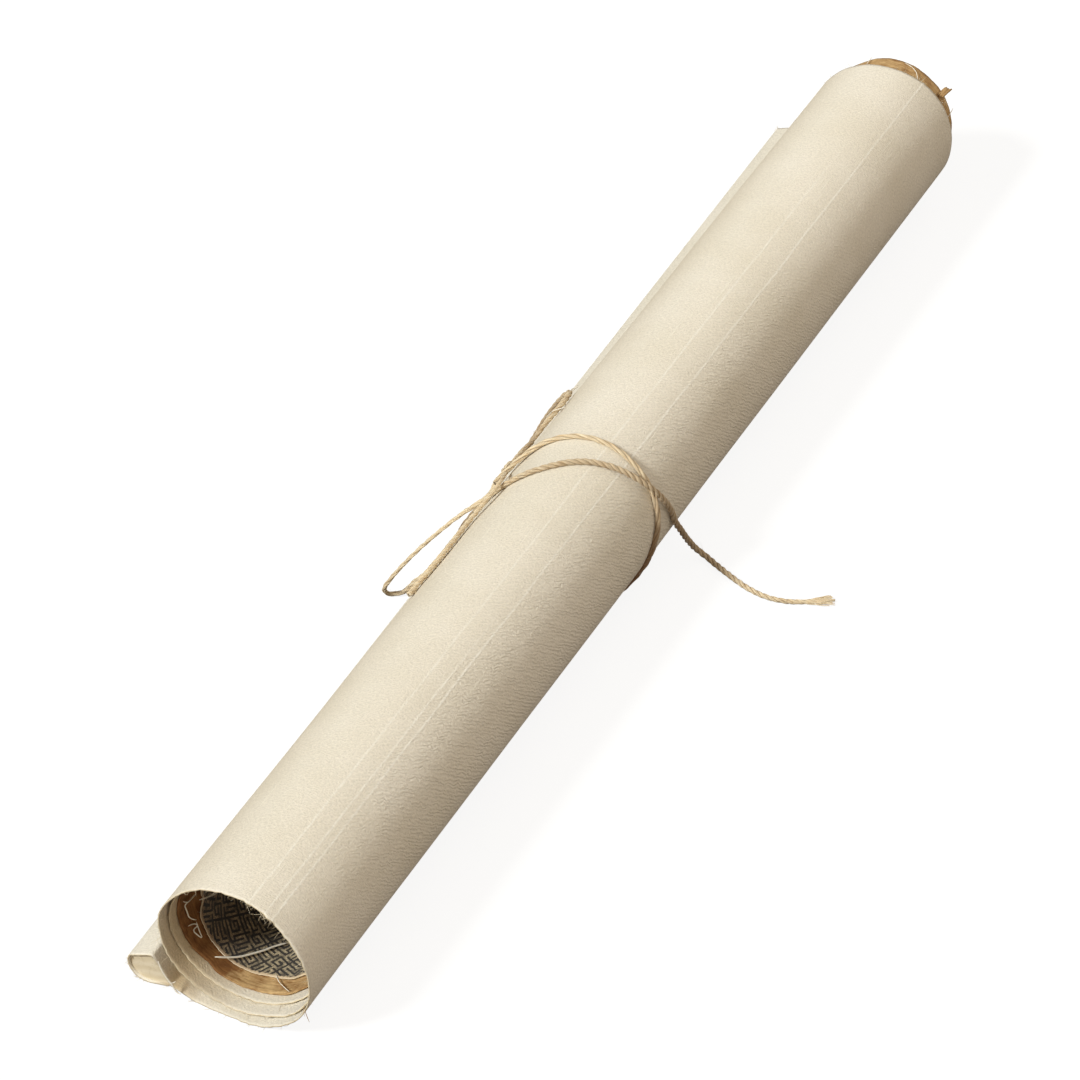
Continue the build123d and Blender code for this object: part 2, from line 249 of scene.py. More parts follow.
# single thick threads along the roll: where they lie is kept with the mesh, and they show in dashes
dash = node(tree, "Mapping", {0: place, "Scale": (0.2, 0.8, 1)}).outputs[0]
dash = node(tree, "TexNoise", {"Vector": dash, "Scale": 1.0, "Detail": 2.0}).outputs[0]
dash = node(tree, "MapRange", {0: dash, 1: 0.38, 2: 0.56, 3: 0.45, 4: 1.0}).outputs[0]
thick_thread = node(tree, "Attribute", attribute_name="thick_thread").outputs["Fac"]
thick_thread = node(tree, "Math", {0: thick_thread, 1: dash}, operation="MULTIPLY").outputs[0]
cloth = node(tree, "Mix", {0: thick_thread, 6: cloth, 7: linear("#FFFCF3")}, data_type="RGBA").outputs[2]
# painted shade: the inner turns' margins on the side towards the hem, and the crease beside the hem, are
# darkened
painted_shade = node(tree, "Attribute", attribute_name="painted_shade").outputs["Fac"]
darker = node(tree, "Mix", {0: 1.0, 6: cloth, 7: linear("#D8C29B")},
              data_type="RGBA", blend_type="MULTIPLY").outputs[2]
cloth = node(tree, "Mix", {0: painted_shade, 6: cloth, 7: darker}, data_type="RGBA").outputs[2]
cloth = node(tree, "Mix", {0: speck, 6: cloth, 7: linear("#8F7A58")}, data_type="RGBA").outputs[2]
relief = node(tree, "Math", {0: slub, 1: 0.5, 2: weave}, operation="MULTIPLY_ADD").outputs[0]
relief = node(tree, "Math", {0: ripple, 1: 0.5, 2: relief}, operation="MULTIPLY_ADD").outputs[0]
cover(cream, shader, cloth, relief, 0.6, 0.4)

# %% Cut edge of the cream linen
# it shows the threads' pale ends, 0.7 mm apart, and the paper between them
cut_edge, tree, shader = new_material("cream_linen_cut_edge", {"Roughness": 0.95})
place = node(tree, "TexCoord").outputs["Object"]
ends = node(tree, "TexNoise", {"Vector": place, "Scale": 1400.0, "Detail": 2.0}).outputs[0]
edge = node(tree, "Mix", {0: ends, 6: linear("#C9B48A"), 7: linear("#F4EBD6")}, data_type="RGBA").outputs[2]
cover(cut_edge, shader, edge)

# %% [markdown]
# ## Brown lining paper
#
# Kraft-like paper made from long fibres: golden brown, matt, with darker clouds and
# fine streaks that run round the roll.

# %% Brown paper
brown, tree, shader = new_material("brown_lining_paper_long_fibre", {
    "Roughness": 0.8, "Specular IOR Level": 0.3})
place = node(tree, "UVMap", uv_map="cloth_mm").outputs[0]
# clouds are 6 mm wide; the fibres are drawn 0.6 mm thick, wider than real ones, so that they show
cloud = node(tree, "TexNoise", {"Vector": place, "Scale": 0.16, "Detail": 5.0, "Roughness": 0.65}).outputs[0]
stretched = node(tree, "Mapping", {0: place, "Scale": (0.22, 1.6, 1)}).outputs[0]
fibre = node(tree, "TexNoise", {"Vector": stretched, "Scale": 1.0, "Detail": 4.0,
                                "Roughness": 0.7}).outputs[0]
mixed = node(tree, "Math", {0: cloud, 1: 0.5}, operation="MULTIPLY").outputs[0]
mixed = node(tree, "Math", {0: fibre, 1: 0.5, 2: mixed}, operation="MULTIPLY_ADD").outputs[0]
mixed = node(tree, "MapRange", {0: mixed, 1: 0.38, 2: 0.62}).outputs[0]
kraft = node(tree, "Mix", {0: mixed, 6: linear("#855B30"), 7: linear("#D9B884")},
             data_type="RGBA").outputs[2]
# painted shade: in the mouth, on the side towards the hem, the paper is darkened, with a cloudy border
painted_shade = node(tree, "Attribute", attribute_name="painted_shade").outputs["Fac"]
edge_of_painted_shade = node(tree, "Math", {0: cloud, 1: 1.5, 2: painted_shade}, operation="MULTIPLY_ADD").outputs[0]
edge_of_painted_shade = node(tree, "MapRange", {0: edge_of_painted_shade, 1: 1.05, 2: 1.25, 3: 0.0, 4: 0.9}).outputs[0]
painted_shade_kraft = node(tree, "Mix", {0: 1.0, 6: kraft, 7: linear("#A5825E")},
             data_type="RGBA", blend_type="MULTIPLY").outputs[2]
kraft = node(tree, "Mix", {0: edge_of_painted_shade, 6: kraft, 7: painted_shade_kraft}, data_type="RGBA").outputs[2]
cover(brown, shader, kraft, fibre, 0.4, 0.15)

# %% [markdown]
# ## Brocade with a key fret
#
# Brocade is woven with a second set of threads that lie on top and draw the pattern, so
# the pattern is made of small steps. A weaver writes it down as a draft: one row of
# squares for each row of threads, filled or empty. Here the draft is sixteen rows, and
# each row is one number whose binary digits are its squares. The shader picks the row's
# number from a colour ramp with sixteen even steps, and the digit of the column with a
# division by a power of two. The draft is a traditional key fret of bars and square
# spirals, turned 30 degrees to the roll.

# %% The brocade's draft
DRAFT = ("1111111011111110", "0000001010000010", "1111111110111010", "1000000010100010",
         "1111111010111110", "0000001010000000", "1111111111111110", "0000000000100000",
         "1111111110111010", "0000001000101010", "1111101010101010", "1000101010101010",
         "1011101010101010", "1000001010101010", "1111111011101110", "0000000000001000")
SQUARES = len(DRAFT)     # rows of the draft, and squares in each row
CODES = 2 ** SQUARES     # every row's number is below this, so number / CODES is below 1
THREAD_MM = 0.72         # width of one square
brocade, tree, shader = new_material("dark_brocade_woven", {
    "Roughness": 0.62, "Specular IOR Level": 0.4, "Sheen Weight": 0.3})
place = node(tree, "UVMap", uv_map="cloth_mm").outputs[0]
# real threads wander: a noise shakes every place by up to a third of a millimetre
wander = node(tree, "TexNoise", {"Vector": place, "Scale": 0.9, "Detail": 2.0}).outputs["Color"]
shaken = node(tree, "VectorMath", {0: wander, 1: (0.35, 0.35, 0), 2: place},
              operation="MULTIPLY_ADD").outputs[0]
turned = node(tree, "Mapping", {0: shaken, "Rotation": (0, 0, math.radians(30)),
                                "Scale": (1 / THREAD_MM, 1 / THREAD_MM, 1)}).outputs[0]
axes = node(tree, "SeparateXYZ", {0: turned})
counted = []
for axis in (0, 1):
    count = node(tree, "Math", {0: axes.outputs[axis], 1: SQUARES}, operation="FLOORED_MODULO").outputs[0]
    counted.append(node(tree, "Math", {0: count}, operation="FLOOR").outputs[0])
column, row = counted
# (row + a half) / 16 is the middle of the row's step in the ramp
step = node(tree, "Math", {0: row, 1: 1 / SQUARES, 2: 0.5 / SQUARES}, operation="MULTIPLY_ADD").outputs[0]
draft = node(tree, "ValToRGB", {0: step})
draft.color_ramp.interpolation = "CONSTANT"
while len(draft.color_ramp.elements) < SQUARES:
    draft.color_ramp.elements.new(0.999)
for k, line in enumerate(DRAFT):
    number = int(line[::-1], 2) / CODES
    draft.color_ramp.elements[k].position = k / SQUARES
    draft.color_ramp.elements[k].color = (number, number, number, 1)
power = node(tree, "Math", {0: 2.0, 1: column}, operation="POWER").outputs[0]
digit = node(tree, "Math", {0: draft.outputs[0], 1: CODES}, operation="MULTIPLY").outputs[0]
digit = node(tree, "Math", {0: digit, 1: power}, operation="DIVIDE").outputs[0]
digit = node(tree, "Math", {0: digit}, operation="FLOOR").outputs[0]
digit = node(tree, "Math", {0: digit, 1: 2.0}, operation="MODULO").outputs[0]
print("draft of %d rows, repeating every %.1f mm" % (SQUARES, SQUARES * THREAD_MM))

# %% Wear and frayed edge of the brocade
# the pattern thread is worn: it is paler in some places and gone in others
worn = node(tree, "TexNoise", {"Vector": place, "Scale": 0.45, "Detail": 4.0, "Roughness": 0.7}).outputs[0]
worn = node(tree, "MapRange", {0: worn, 1: 0.36, 2: 0.56, 3: 0.1, 4: 1.0}).outputs[0]
shown = node(tree, "Math", {0: digit, 1: worn}, operation="MULTIPLY").outputs[0]
fine = node(tree, "TexNoise", {"Vector": place, "Scale": 2.2, "Detail": 3.0}).outputs[0]
fine = node(tree, "MapRange", {0: fine, 1: 0.33, 2: 0.67, 3: 0.0, 4: 1.0}).outputs[0]
ground = node(tree, "Mix", {0: fine, 6: linear("#1B1718"), 7: linear("#453E37")}, data_type="RGBA").outputs[2]
figure = node(tree, "Mix", {0: fine, 6: linear("#86765A"), 7: linear("#DCCAA6")}, data_type="RGBA").outputs[2]
woven = node(tree, "Mix", {0: shown, 6: ground, 7: figure}, data_type="RGBA").outputs[2]
# along its near edge the cloth is frayed down to its pale paper, about a millimetre wide
ravel = node(tree, "Mapping", {0: place, "Scale": (1.6, 0.35, 1)}).outputs[0]
ravel = node(tree, "TexNoise", {"Vector": ravel, "Scale": 1.0, "Detail": 3.0}).outputs[0]
from_edge = node(tree, "SeparateXYZ", {0: place}).outputs[1]
from_edge = node(tree, "Math", {0: ravel, 1: -1.2, 2: from_edge}, operation="MULTIPLY_ADD").outputs[0]
frayed = node(tree, "MapRange", {0: from_edge, 1: -0.1, 2: 0.35, 3: 1.0, 4: 0.0}).outputs[0]
paper = node(tree, "Mix", {0: ravel, 6: linear("#A88762"), 7: linear("#E2CFAF")}, data_type="RGBA").outputs[2]
woven = node(tree, "Mix", {0: frayed, 6: woven, 7: paper}, data_type="RGBA").outputs[2]
# painted shade: the brocade is darker in the mouth on the side towards the hem
painted_shade = node(tree, "Attribute", attribute_name="painted_shade").outputs["Fac"]
painted_shade = node(tree, "Math", {0: painted_shade, 1: 0.8}, operation="MULTIPLY").outputs[0]
darker = node(tree, "Mix", {0: 1.0, 6: woven, 7: linear("#A08C80")},
              data_type="RGBA", blend_type="MULTIPLY").outputs[2]
woven = node(tree, "Mix", {0: painted_shade, 6: woven, 7: darker}, data_type="RGBA").outputs[2]
cover(brocade, shader, woven, shown, 0.5, 0.1)

# %% [markdown]
# ## Wood, twine and thread
#
# The stave is plain sawn softwood, of which only the ends show. The twine is three plies
# of unbleached bast fibre: straw-coloured, with painted shade and dust in warm brown
# between the plies, and fine fibres along each ply. The loose sewing threads are white
# cotton.

# %% Stave wood
wood, tree, shader = new_material("stave_softwood_sawn", {"Roughness": 0.7, "Specular IOR Level": 0.3})
place = node(tree, "TexCoord").outputs["Object"]
# annual rings round a heart that lay below the stave, and pores a millimetre apart
RING_SCALE = 95.0        # waves repeat every pi / 10 / scale, in metres here
rings = node(tree, "Mapping", {0: place, "Location": (0, -0.01, 0.03), "Scale": (0.03, 1, 1)}).outputs[0]
rings = node(tree, "TexWave", {"Vector": rings, "Scale": RING_SCALE, "Distortion": 2.5, "Detail": 2.0,
                               "Detail Scale": 1.5}, wave_type="RINGS", rings_direction="X").outputs[0]
print("annual rings are %.1f mm apart" % (math.pi / 10 / RING_SCALE * 1000))
pores = node(tree, "TexNoise", {"Vector": place, "Scale": 900.0, "Detail": 3.0, "Roughness": 0.7}).outputs[0]
timber = node(tree, "Mix", {0: rings, 6: linear("#E8DBC2"), 7: linear("#DDCEB0")},
              data_type="RGBA").outputs[2]
dark_pores = node(tree, "MapRange", {0: pores, 1: 0.55, 2: 0.75, 3: 0.0, 4: 0.4}).outputs[0]
timber = node(tree, "Mix", {0: dark_pores, 6: timber, 7: linear("#A98E66")}, data_type="RGBA").outputs[2]
cover(wood, shader, timber, pores, 0.3, 0.2)

# %% Twine
twine, tree, shader = new_material("natural_twine_three_ply", {
    "Roughness": 0.75, "Specular IOR Level": 0.35, "Sheen Weight": 0.15})
place = node(tree, "UVMap", uv_map="cloth_mm").outputs[0]
# fibres lie at a slant along each ply; the real ones are 0.05 mm thick and are drawn 0.3 mm thick
slant = node(tree, "Mapping", {0: place, "Rotation": (0, 0, math.radians(14)),
                               "Scale": (0.22, 3.4, 1)}).outputs[0]
fibre = node(tree, "TexNoise", {"Vector": slant, "Scale": 1.0, "Detail": 4.0, "Roughness": 0.7}).outputs[0]
patch = node(tree, "TexNoise", {"Vector": place, "Scale": 0.11, "Detail": 3.0}).outputs[0]
straw = node(tree, "MapRange", {0: fibre, 1: 0.34, 2: 0.62}).outputs[0]
straw = node(tree, "Mix", {0: straw, 6: linear("#C79F68"), 7: linear("#FAEFD2")},
             data_type="RGBA").outputs[2]
light_part = node(tree, "MapRange", {0: patch, 1: 0.4, 2: 0.7, 3: 0.0, 4: 0.5}).outputs[0]
straw = node(tree, "Mix", {0: light_part, 6: straw, 7: linear("#F2E0BE")}, data_type="RGBA").outputs[2]
# the twine is darker in some stretches, which is kept with the mesh: partly its own browner colour, partly
# painted shade where it runs round the roll's shaded flank and under it
brown_and_shade = node(tree, "Attribute", attribute_name="brown_and_shade").outputs["Fac"]
darkened_twine = node(tree, "Mix", {0: 1.0, 6: straw, 7: linear("#7C5831")},
                   data_type="RGBA", blend_type="MULTIPLY").outputs[2]
straw = node(tree, "Mix", {0: brown_and_shade, 6: straw, 7: darkened_twine}, data_type="RGBA").outputs[2]
# painted shade and dust between the plies: how deep a point lies is kept with the mesh
groove = node(tree, "Attribute", attribute_name="groove").outputs["Fac"]
groove = node(tree, "MapRange", {0: groove, 1: 0.3, 2: 1.0, 3: 0.0, 4: 0.8}).outputs[0]
straw = node(tree, "Mix", {0: groove, 6: straw, 7: linear("#6E4E2A")}, data_type="RGBA").outputs[2]
cover(twine, shader, straw, fibre, 0.9, 0.3)

# %% White thread
cotton, tree, shader = new_material("white_cotton_thread", {"Roughness": 0.8})
place = node(tree, "TexCoord").outputs["Object"]
strand = node(tree, "TexNoise", {"Vector": place, "Scale": 2500.0, "Detail": 1.0}).outputs[0]
# two whites, as its fibres catch the light every 0.4 mm
white = node(tree, "Mix", {0: strand, 6: linear("#E2D8C4"), 7: linear("#FBF7EE")},
             data_type="RGBA").outputs[2]
cover(cotton, shader, white)

# %% [markdown]
# ## The twine's routes
#
# Every free stretch of twine follows one smooth spline. Its control points are the
# places that the strand bends round: on the roll they
# are given as a place along it, an angle round it from the hem's side and a lift.

# %% Places on and round the roll
REST = ROLL_R + 1.0      # radius at which a strand's middle rests on the roll, a little pressed in
HEM_R = 6.25             # radius of the hem's round side, and height of its middle
STAVE_Y = 33.924         # middle of the hem's round side, where the twine goes over it


def on_roll(x, deg, lift=0.0):
    """A strand's middle on the roll: radius times cosine and sine of the angle, from the axis."""
    r, a = REST + lift, math.radians(deg)
    return (x, r * math.cos(a), ROLL_Z + r * math.sin(a))


def corner(x, deg, step, lift=0.0):
    """A corner whose two sides clear the roll: the radius grows by 1 / cos(half the step)."""
    r, a = (REST + lift) / math.cos(math.radians(step / 2)), math.radians(deg)
    return (x, r * math.cos(a), ROLL_Z + r * math.sin(a))


def round_stave(x, deg, r):
    """A place round the hem's rounded side, at radius r from its centre."""
    a = math.radians(deg)
    return (x, STAVE_Y + r * math.cos(a), HEM_R + r * math.sin(a))


def run_on(a, b, reach):
    """The point in line with a and b that lies reach past b."""
    a, b = np.array(a), np.array(b)
    return tuple(b + (b - a) / np.linalg.norm(b - a) * reach)


OVER = [on_roll(-28.0, 40)] + [corner(x, deg, 17, lift) for x, deg, lift in (
    (-23.4, 58, 0.2), (-17.7, 75, 0), (-11.1, 92, 0), (-7.0, 109, 0.3), (-4.8, 126, 1.4),
    (-2.2, 142, 2.1), (1.6, 157, 1.3), (5.2, 171, 0.2))] + [on_roll(7.2, 180)]
TAIL = [run_on(OVER[-2], OVER[-1], 5.0), (11.6, -27.8, 16.9), (15.0, -28.6, 10.4), (18.6, -29.8, 4.4),
        (20.0, -33.0, 1.25), (17.6, -38.2, 1.17), (14.6, -45.0, 1.17), (11.6, -53.2, 1.17),
        (10.9, -62.0, 1.17), (14.0, -70.6, 1.17), (20.0, -79.4, 1.17)]
NEAR_LOOP = [run_on(OVER[1], OVER[0], 4.5), (-34.4, 28.1, 36.9), (-37.4, 33.1, 31.2), (-40.2, 38.2, 24.9),
             (-42.8, 43.1, 18.1), (-44.8, 46.9, 12.1), (-46.4, 49.4, 7.6), (-45.7, 50.9, 3.9),
             (-44.1, 49.9, 1.4), (-42.3, 47.4, 1.1), (-41.6, 44.6, 3.2), (-42.4, 41.6, 8.4),
             (-41.6, 38.2, 12.4), (-36.0, 33.4, 13.9), (-29.5, 30.6, 17.2), (-24.4, 28.6, 22.4),
             (-20.6, 27.0, 28.6), (-18.2, 25.8, 34.8), (-16.0, 24.2, 39.6)]
FAR_LOOP = [on_roll(*p) for p in (
    (-9.5, 34.0, 0.4), (-4.0, 31.5, 0.4), (2.0, 29.0, 0.2), (8.0, 25.5, -0.2), (14.0, 31.0, 0.2),
    (20.0, 35.5, 0.1), (27.0, 36.0, 0.1), (31.9, 33.5, 0.4), (31.9, 27.0, 1.0), (27.0, 25.5, 1.3),
    (20.0, 24.5, 1.2), (14.0, 23.0, 0.6), (8.0, 19.0, 0.1), (2.0, 22.0, 0.1), (-5.0, 26.0, 0.2),
    (-9.5, 29.0, 0.4))]
SHORT_END = [on_roll(*p) for p in (
    (-15.6, 37.0, 0.5), (-20.6, 46.5, 1.2), (-26.2, 51.5, 1.9), (-33.4, 48.5, 1.1), (-41.0, 41.5, 0.25),
    (-50.0, 40.5, 0.1), (-60.0, 41.5, 0.1), (-68.0, 40.5, 0.1), (-75.0, 38.0, 0.1), (-81.0, 37.5, 0.1))]
OVER_ROLL = [corner(x, deg, 22.5, lift) for x, deg, lift in (
    (-3.6, 55, 0), (0.4, 77.5, 0), (1.9, 100, 0), (1.5, 122.5, 0), (0.1, 145, 0), (-2.4, 167.5, 0),
    (-7.4, 190, -0.35), (-10.4, 212.5, -0.95))]
UNDER_ROLL = [(-13.8, -16.0, 3.1), (-15.6, -11.7, 1.0), (-16.2, -8.0, 0.45), (-14.4, 13.0, 0.45),
              (-12.3, 34.5, 0.45), (-11.9, 37.6, 0.5)]
ROUND_HEM = [round_stave(-11.7, -38, 7.7), round_stave(-11.5, -5, 7.45), round_stave(-11.5, 25, 7.35)]
WRAP = [on_roll(-20.5, 33.5, 0.9), on_roll(-12.8, 37.5, 0.6), *OVER_ROLL, *UNDER_ROLL, *ROUND_HEM,
        on_roll(-12.6, 28, -0.2), on_roll(-13.4, 33, 0.2)]
UNDER_SHEET = np.array([(-15.6, -11.7), (-11.8, 38.0)])      # x, y where the ring goes under and comes out
print("the ring has %d control points" % len(WRAP))

# %% Smooth lines
STEP = 0.35              # from point to point along a strand, mm


def along(line):
    """Distance run at each point of a line: the sum of the steps before it."""
    return np.concatenate([[0], np.cumsum(np.linalg.norm(np.diff(line, axis=0), axis=1))])


def length_of(line):
    """Distance run at the last point."""
    return float(along(line)[-1])


def smooth_line(points, step=STEP):
    """Points one step apart along the quadratic NURBS spline of the given points, by Blender's own curve."""
    curve = bpy.data.curves.new("route", "CURVE")
    curve.dimensions, curve.resolution_u = "3D", 24
    spline = curve.splines.new("NURBS")
    spline.points.add(len(points) - 1)
    spline.points.foreach_set("co", np.column_stack([points, np.ones(len(points))]).ravel())
    spline.order_u, spline.use_endpoint_u = 3, True
    holder = bpy.data.objects.new("route", curve)
    mesh = bpy.data.meshes.new_from_object(holder)
    line = np.empty(len(mesh.vertices) * 3)
    mesh.vertices.foreach_get("co", line)
    line = line.reshape(-1, 3)
    bpy.data.objects.remove(holder)
    bpy.data.meshes.remove(mesh)
    bpy.data.curves.remove(curve)
    run = along(line)
    at = np.linspace(0, run[-1], int(run[-1] / step) + 1)
    return np.stack([np.interp(at, run, line[:, k]) for k in range(3)], 1)


# %% [markdown]
# ## Three plies twisted together
#
# Twine is three plies that wind round each other. Each ply is a tube whose middle runs in
# a helix round the line. The helix needs two directions square to the line that don't
# spin by themselves. Any square direction will do to start with: the angle by which it
# turns from each point to the next, after the bend is taken out, is added up and
# subtracted. Where the roll presses the twine on the table, the plies spread sideways
# and flatten.

# %% Directions along a line
def steady_frame(line):
    """Tangent and two square directions at each point: a first guess with its summed spin taken off."""
    tangent = np.gradient(line, axis=0)
    tangent /= np.linalg.norm(tangent, axis=1, keepdims=True)
    guess = np.where(np.abs(tangent[:, 2:]) < 0.8, [[0.0, 0.0, 1.0]], [[1.0, 0.0, 0.0]])
    first = np.cross(tangent, guess)
    first /= np.linalg.norm(first, axis=1, keepdims=True)
    second = np.cross(tangent, first)
    # carry each first direction to the next point by turning it as the tangent turns
    a, b = tangent[:-1], tangent[1:]
    axis = np.cross(a, b)
    carried = first[:-1] + np.cross(axis, first[:-1]) + np.cross(axis, np.cross(axis, first[:-1])) / (
        1 + (a * b).sum(1, keepdims=True))
    spin = np.arctan2((carried * second[1:]).sum(1), (carried * first[1:]).sum(1))
    spin = np.concatenate([[0], np.cumsum(spin)])[:, None]
    cos, sin = np.cos(spin), np.sin(spin)
    return tangent, first * cos + second * sin, second * cos - first * sin


# %% Twine builder
LAY = 8.0                # length of one whole twist, mm
PLY, APART = 0.68, 0.46  # radius of a ply, and how far its middle is from the twine's, mm
VALLEY, CREST = 0.75, 1.10   # from the twine's middle to the painted shade and dust between plies and to their clean tops
TABLE_GAP = 0.02         # the lowest fibre above the table, mm
FREE_HEIGHT = 1.18       # a strand whose middle is this far above the gap isn't pressed
FLATTEST, WIDENS = 0.34, 0.55    # least share of its height, and how much wider per share lost


def twine_rings(line, start, girth, lay, sides=9):
    """Rings of three plies: line + girth * (apart * helix direction + radius * circle round it)."""
    tangent, first, second = steady_frame(line)
    run = along(line) + start
    girth = np.interp(np.linspace(0, 1, len(line)), np.linspace(0, 1, len(girth)), girth)
    around = np.linspace(0, 2 * math.pi, sides, endpoint=False)
    rings, uv = [], []
    for ply in range(3):
        turn = (2 * math.pi * (run / lay + ply / 3))[:, None]
        out = first * np.cos(turn) + second * np.sin(turn)
        side = np.cross(tangent, out)
        # each ply is up to 7 per cent thicker or thinner in places
        plump = 1 + 0.07 * np.sin(run * 1.7 + ply * 2) * np.sin(run * 0.31 + ply)
        ring = out[:, None] * np.cos(around)[:, None] + side[:, None] * np.sin(around)[:, None]
        offset = (out * APART)[:, None] + ring * (PLY * plump)[:, None, None]
        rings.append(line[:, None] + offset * girth[:, None, None])
        uv.append(np.stack([np.repeat(run[:, None], sides, 1),
                            np.repeat(around[None] * PLY, len(run), 0) + 7 * ply], -1))
    return rings, uv, girth


def pressed(ring, line):
    """Flattens what would reach below the table: heights shrink towards the line, widths grow in step."""
    room = np.clip((line[:, 2] - TABLE_GAP) / FREE_HEIGHT, FLATTEST, 1)[:, None, None]
    wide = 1 + WIDENS * (1 - room)
    return line[:, None] + (ring - line[:, None]) * np.concatenate([wide, wide, room], -1)


def add_twine(name, line, nodes, start=0.0, girth=(1, 1), lay=LAY, brown_and_shade=(0, 0), dust_and_shade=1.0):
    """A strand of three plies along a line, each closed at both ends by a fan of faces round its middle.

    girth and the darkening along the strand, its own brown and painted shade, are shares at even places along
    it; the last argument scales the dust and painted shade between plies.
    """
    rings, uv, girth = twine_rings(line, start, girth, lay)
    rows, sides = rings[0].shape[:2]
    reach = [np.linalg.norm(ring - line[:, None], axis=2) / girth[:, None] for ring in rings]
    depth = [1 - (r - VALLEY) / (CREST - VALLEY) for r in reach]
    rings = [pressed(ring, line) for ring in rings]
    faces, verts, coords, groove, first = [], [], [], [], 0
    for ring, flat, deep in zip(rings, uv, depth):
        ends = [ring[0].mean(0, keepdims=True), ring[-1].mean(0, keepdims=True)]
        verts += [ring.reshape(-1, 3), *ends]
        coords += [flat.reshape(-1, 2), flat[0, :1], flat[-1, :1]]
        groove += [dust_and_shade * np.clip(deep, 0, 1).ravel(), [0.5, 0.5]]
        faces += grid_faces(rows, sides, True, first)[:, ::-1].tolist()
        tip, last = first + rows * sides, first + (rows - 1) * sides
        faces += [[first + k, first + (k + 1) % sides, tip] for k in range(sides)]
        faces += [[last + (k + 1) % sides, last + k, tip + 1] for k in range(sides)]
        first = tip + 2
    piece = add_mesh(name, np.concatenate(verts), faces, np.concatenate(coords), (twine,))
    keep_with(piece, "groove", np.concatenate(groove))
    tint = np.interp(np.linspace(0, 1, rows), np.linspace(0, 1, len(brown_and_shade)), brown_and_shade)
    tint = np.concatenate([np.repeat(tint, sides), tint[[0, -1]]])
    keep_with(piece, "brown_and_shade", np.tile(tint, 3))
    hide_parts(*nodes)
    return piece


# %% Frayed ends of the twine
TAIL_BRUSH, SHORT_BRUSH = 14, 11     # lengths of the two, mm
CLEAR = 0.03                         # fibres and threads stay this far above the table, mm


def add_brush(name, line, count, spread, radius, seed, material, rings=9, sides=4):
    """Fibres that follow the last stretch of the line and part sideways by spread * t to the 1.5."""
    draw = np.random.default_rng(seed)
    tangent, first, second = steady_frame(line)
    side = np.cross(tangent, [0, 0, 1])
    side /= np.linalg.norm(side, axis=1, keepdims=True)
    verts, faces = [], []
    for k in range(count):
        reach = int(len(line) * draw.uniform(0.85, 1))
        rows = np.unique(np.linspace(0, reach - 1, rings).astype(int))
        t = (rows / len(line))[:, None]
        # each starts up to half a millimetre off the middle and sways by a quarter of one
        start, away = draw.uniform(-0.5, 0.5, 2), draw.uniform(-1, 1) * spread
        middle = line[rows] + side[rows] * (start[0] * (1 - t) + away * t ** 1.5 + 0.25 * np.sin(9 * t + k))
        middle[:, 2] += (start[1] * 0.8 * (1 - t) + 0.5 * draw.uniform(-1, 1) * t)[:, 0]
        thick = radius * draw.uniform(0.6, 1.2) * (1 - 0.5 * t)
        around = np.linspace(0, 2 * math.pi, sides, endpoint=False)[None, :, None]
        ring = first[rows][:, None] * np.cos(around) + second[rows][:, None] * np.sin(around)
        faces.append(grid_faces(len(rows), sides, True, sum(map(len, verts)))[:, ::-1])
        verts.append((middle[:, None] + ring * thick[:, None]).reshape(-1, 3))
    verts = np.concatenate(verts)
    verts[:, 2] = np.maximum(verts[:, 2], CLEAR)
    uv = np.column_stack([verts[:, 0] + verts[:, 1], verts[:, 0] * 3])
    piece = add_mesh(name, verts, np.concatenate(faces), uv, (material,))
    return piece


# %% [markdown]
# ## The slanted strand, the near loop and the tail
#
# One length of twine comes out of the knot, makes the near loop on the table, goes over
# the roll on a slant and ends in the tail. It is one spline, cut at the two places
# where the CAD nodes meet, so that the twist runs on across the cuts.

# %% One strand cut in three
whole = smooth_line(NEAR_LOOP[::-1] + OVER + TAIL)
cut_a = int(np.argmin(np.linalg.norm(whole - np.array(OVER[0]), axis=1)))
cut_b = int(np.argmin(np.linalg.norm(whole - np.array(OVER[-1]), axis=1)))
near_line, over_line, tail_line = whole[:cut_a + 1], whole[cut_a:cut_b + 1], whole[cut_b:]
start_over = length_of(near_line)
near_loop = add_twine("near_loop_twine", near_line, ["twine_near_loop"], lay=15.0, dust_and_shade=0.6,
                      girth=(0.85, 0.8, 0.78, 0.78, 0.75, 0.62, 0.6, 0.62, 0.8),
                      brown_and_shade=(0, 0, 0.05, 0.1, 0.2, 0.1, 0, 0, 0.1))
# the slanted strand and the tail's start darken towards the roll's shaded flank: painted shade, with some of
# the twine's own brown
add_twine("slanted_twine", over_line, ["twine_over"], start=start_over,
          girth=(0.72, 0.88, 0.92, 0.92), brown_and_shade=(0.05, 0.2, 0.25, 0.33, 0.5))
tail = add_twine("tail_twine", tail_line, ["twine_tail"], start=start_over + length_of(over_line),
                 girth=(0.92, 1, 1, 1, 0.97, 0.93, 0.9, 0.87, 0.84, 0.81, 0.78, 0.76, 0.6, 0.4),
                 brown_and_shade=(0.5, 0.65, 0.55, 0.35, 0.15, 0.1, 0.05, 0, 0))
add_brush("tail_brush", tail_line[-int(TAIL_BRUSH / STEP):], 34, 2.9, 0.34, 51, twine)
for label, line in (("near loop", near_line), ("over the roll", over_line), ("tail", tail_line)):
    print(label, "%.1f mm" % length_of(line))

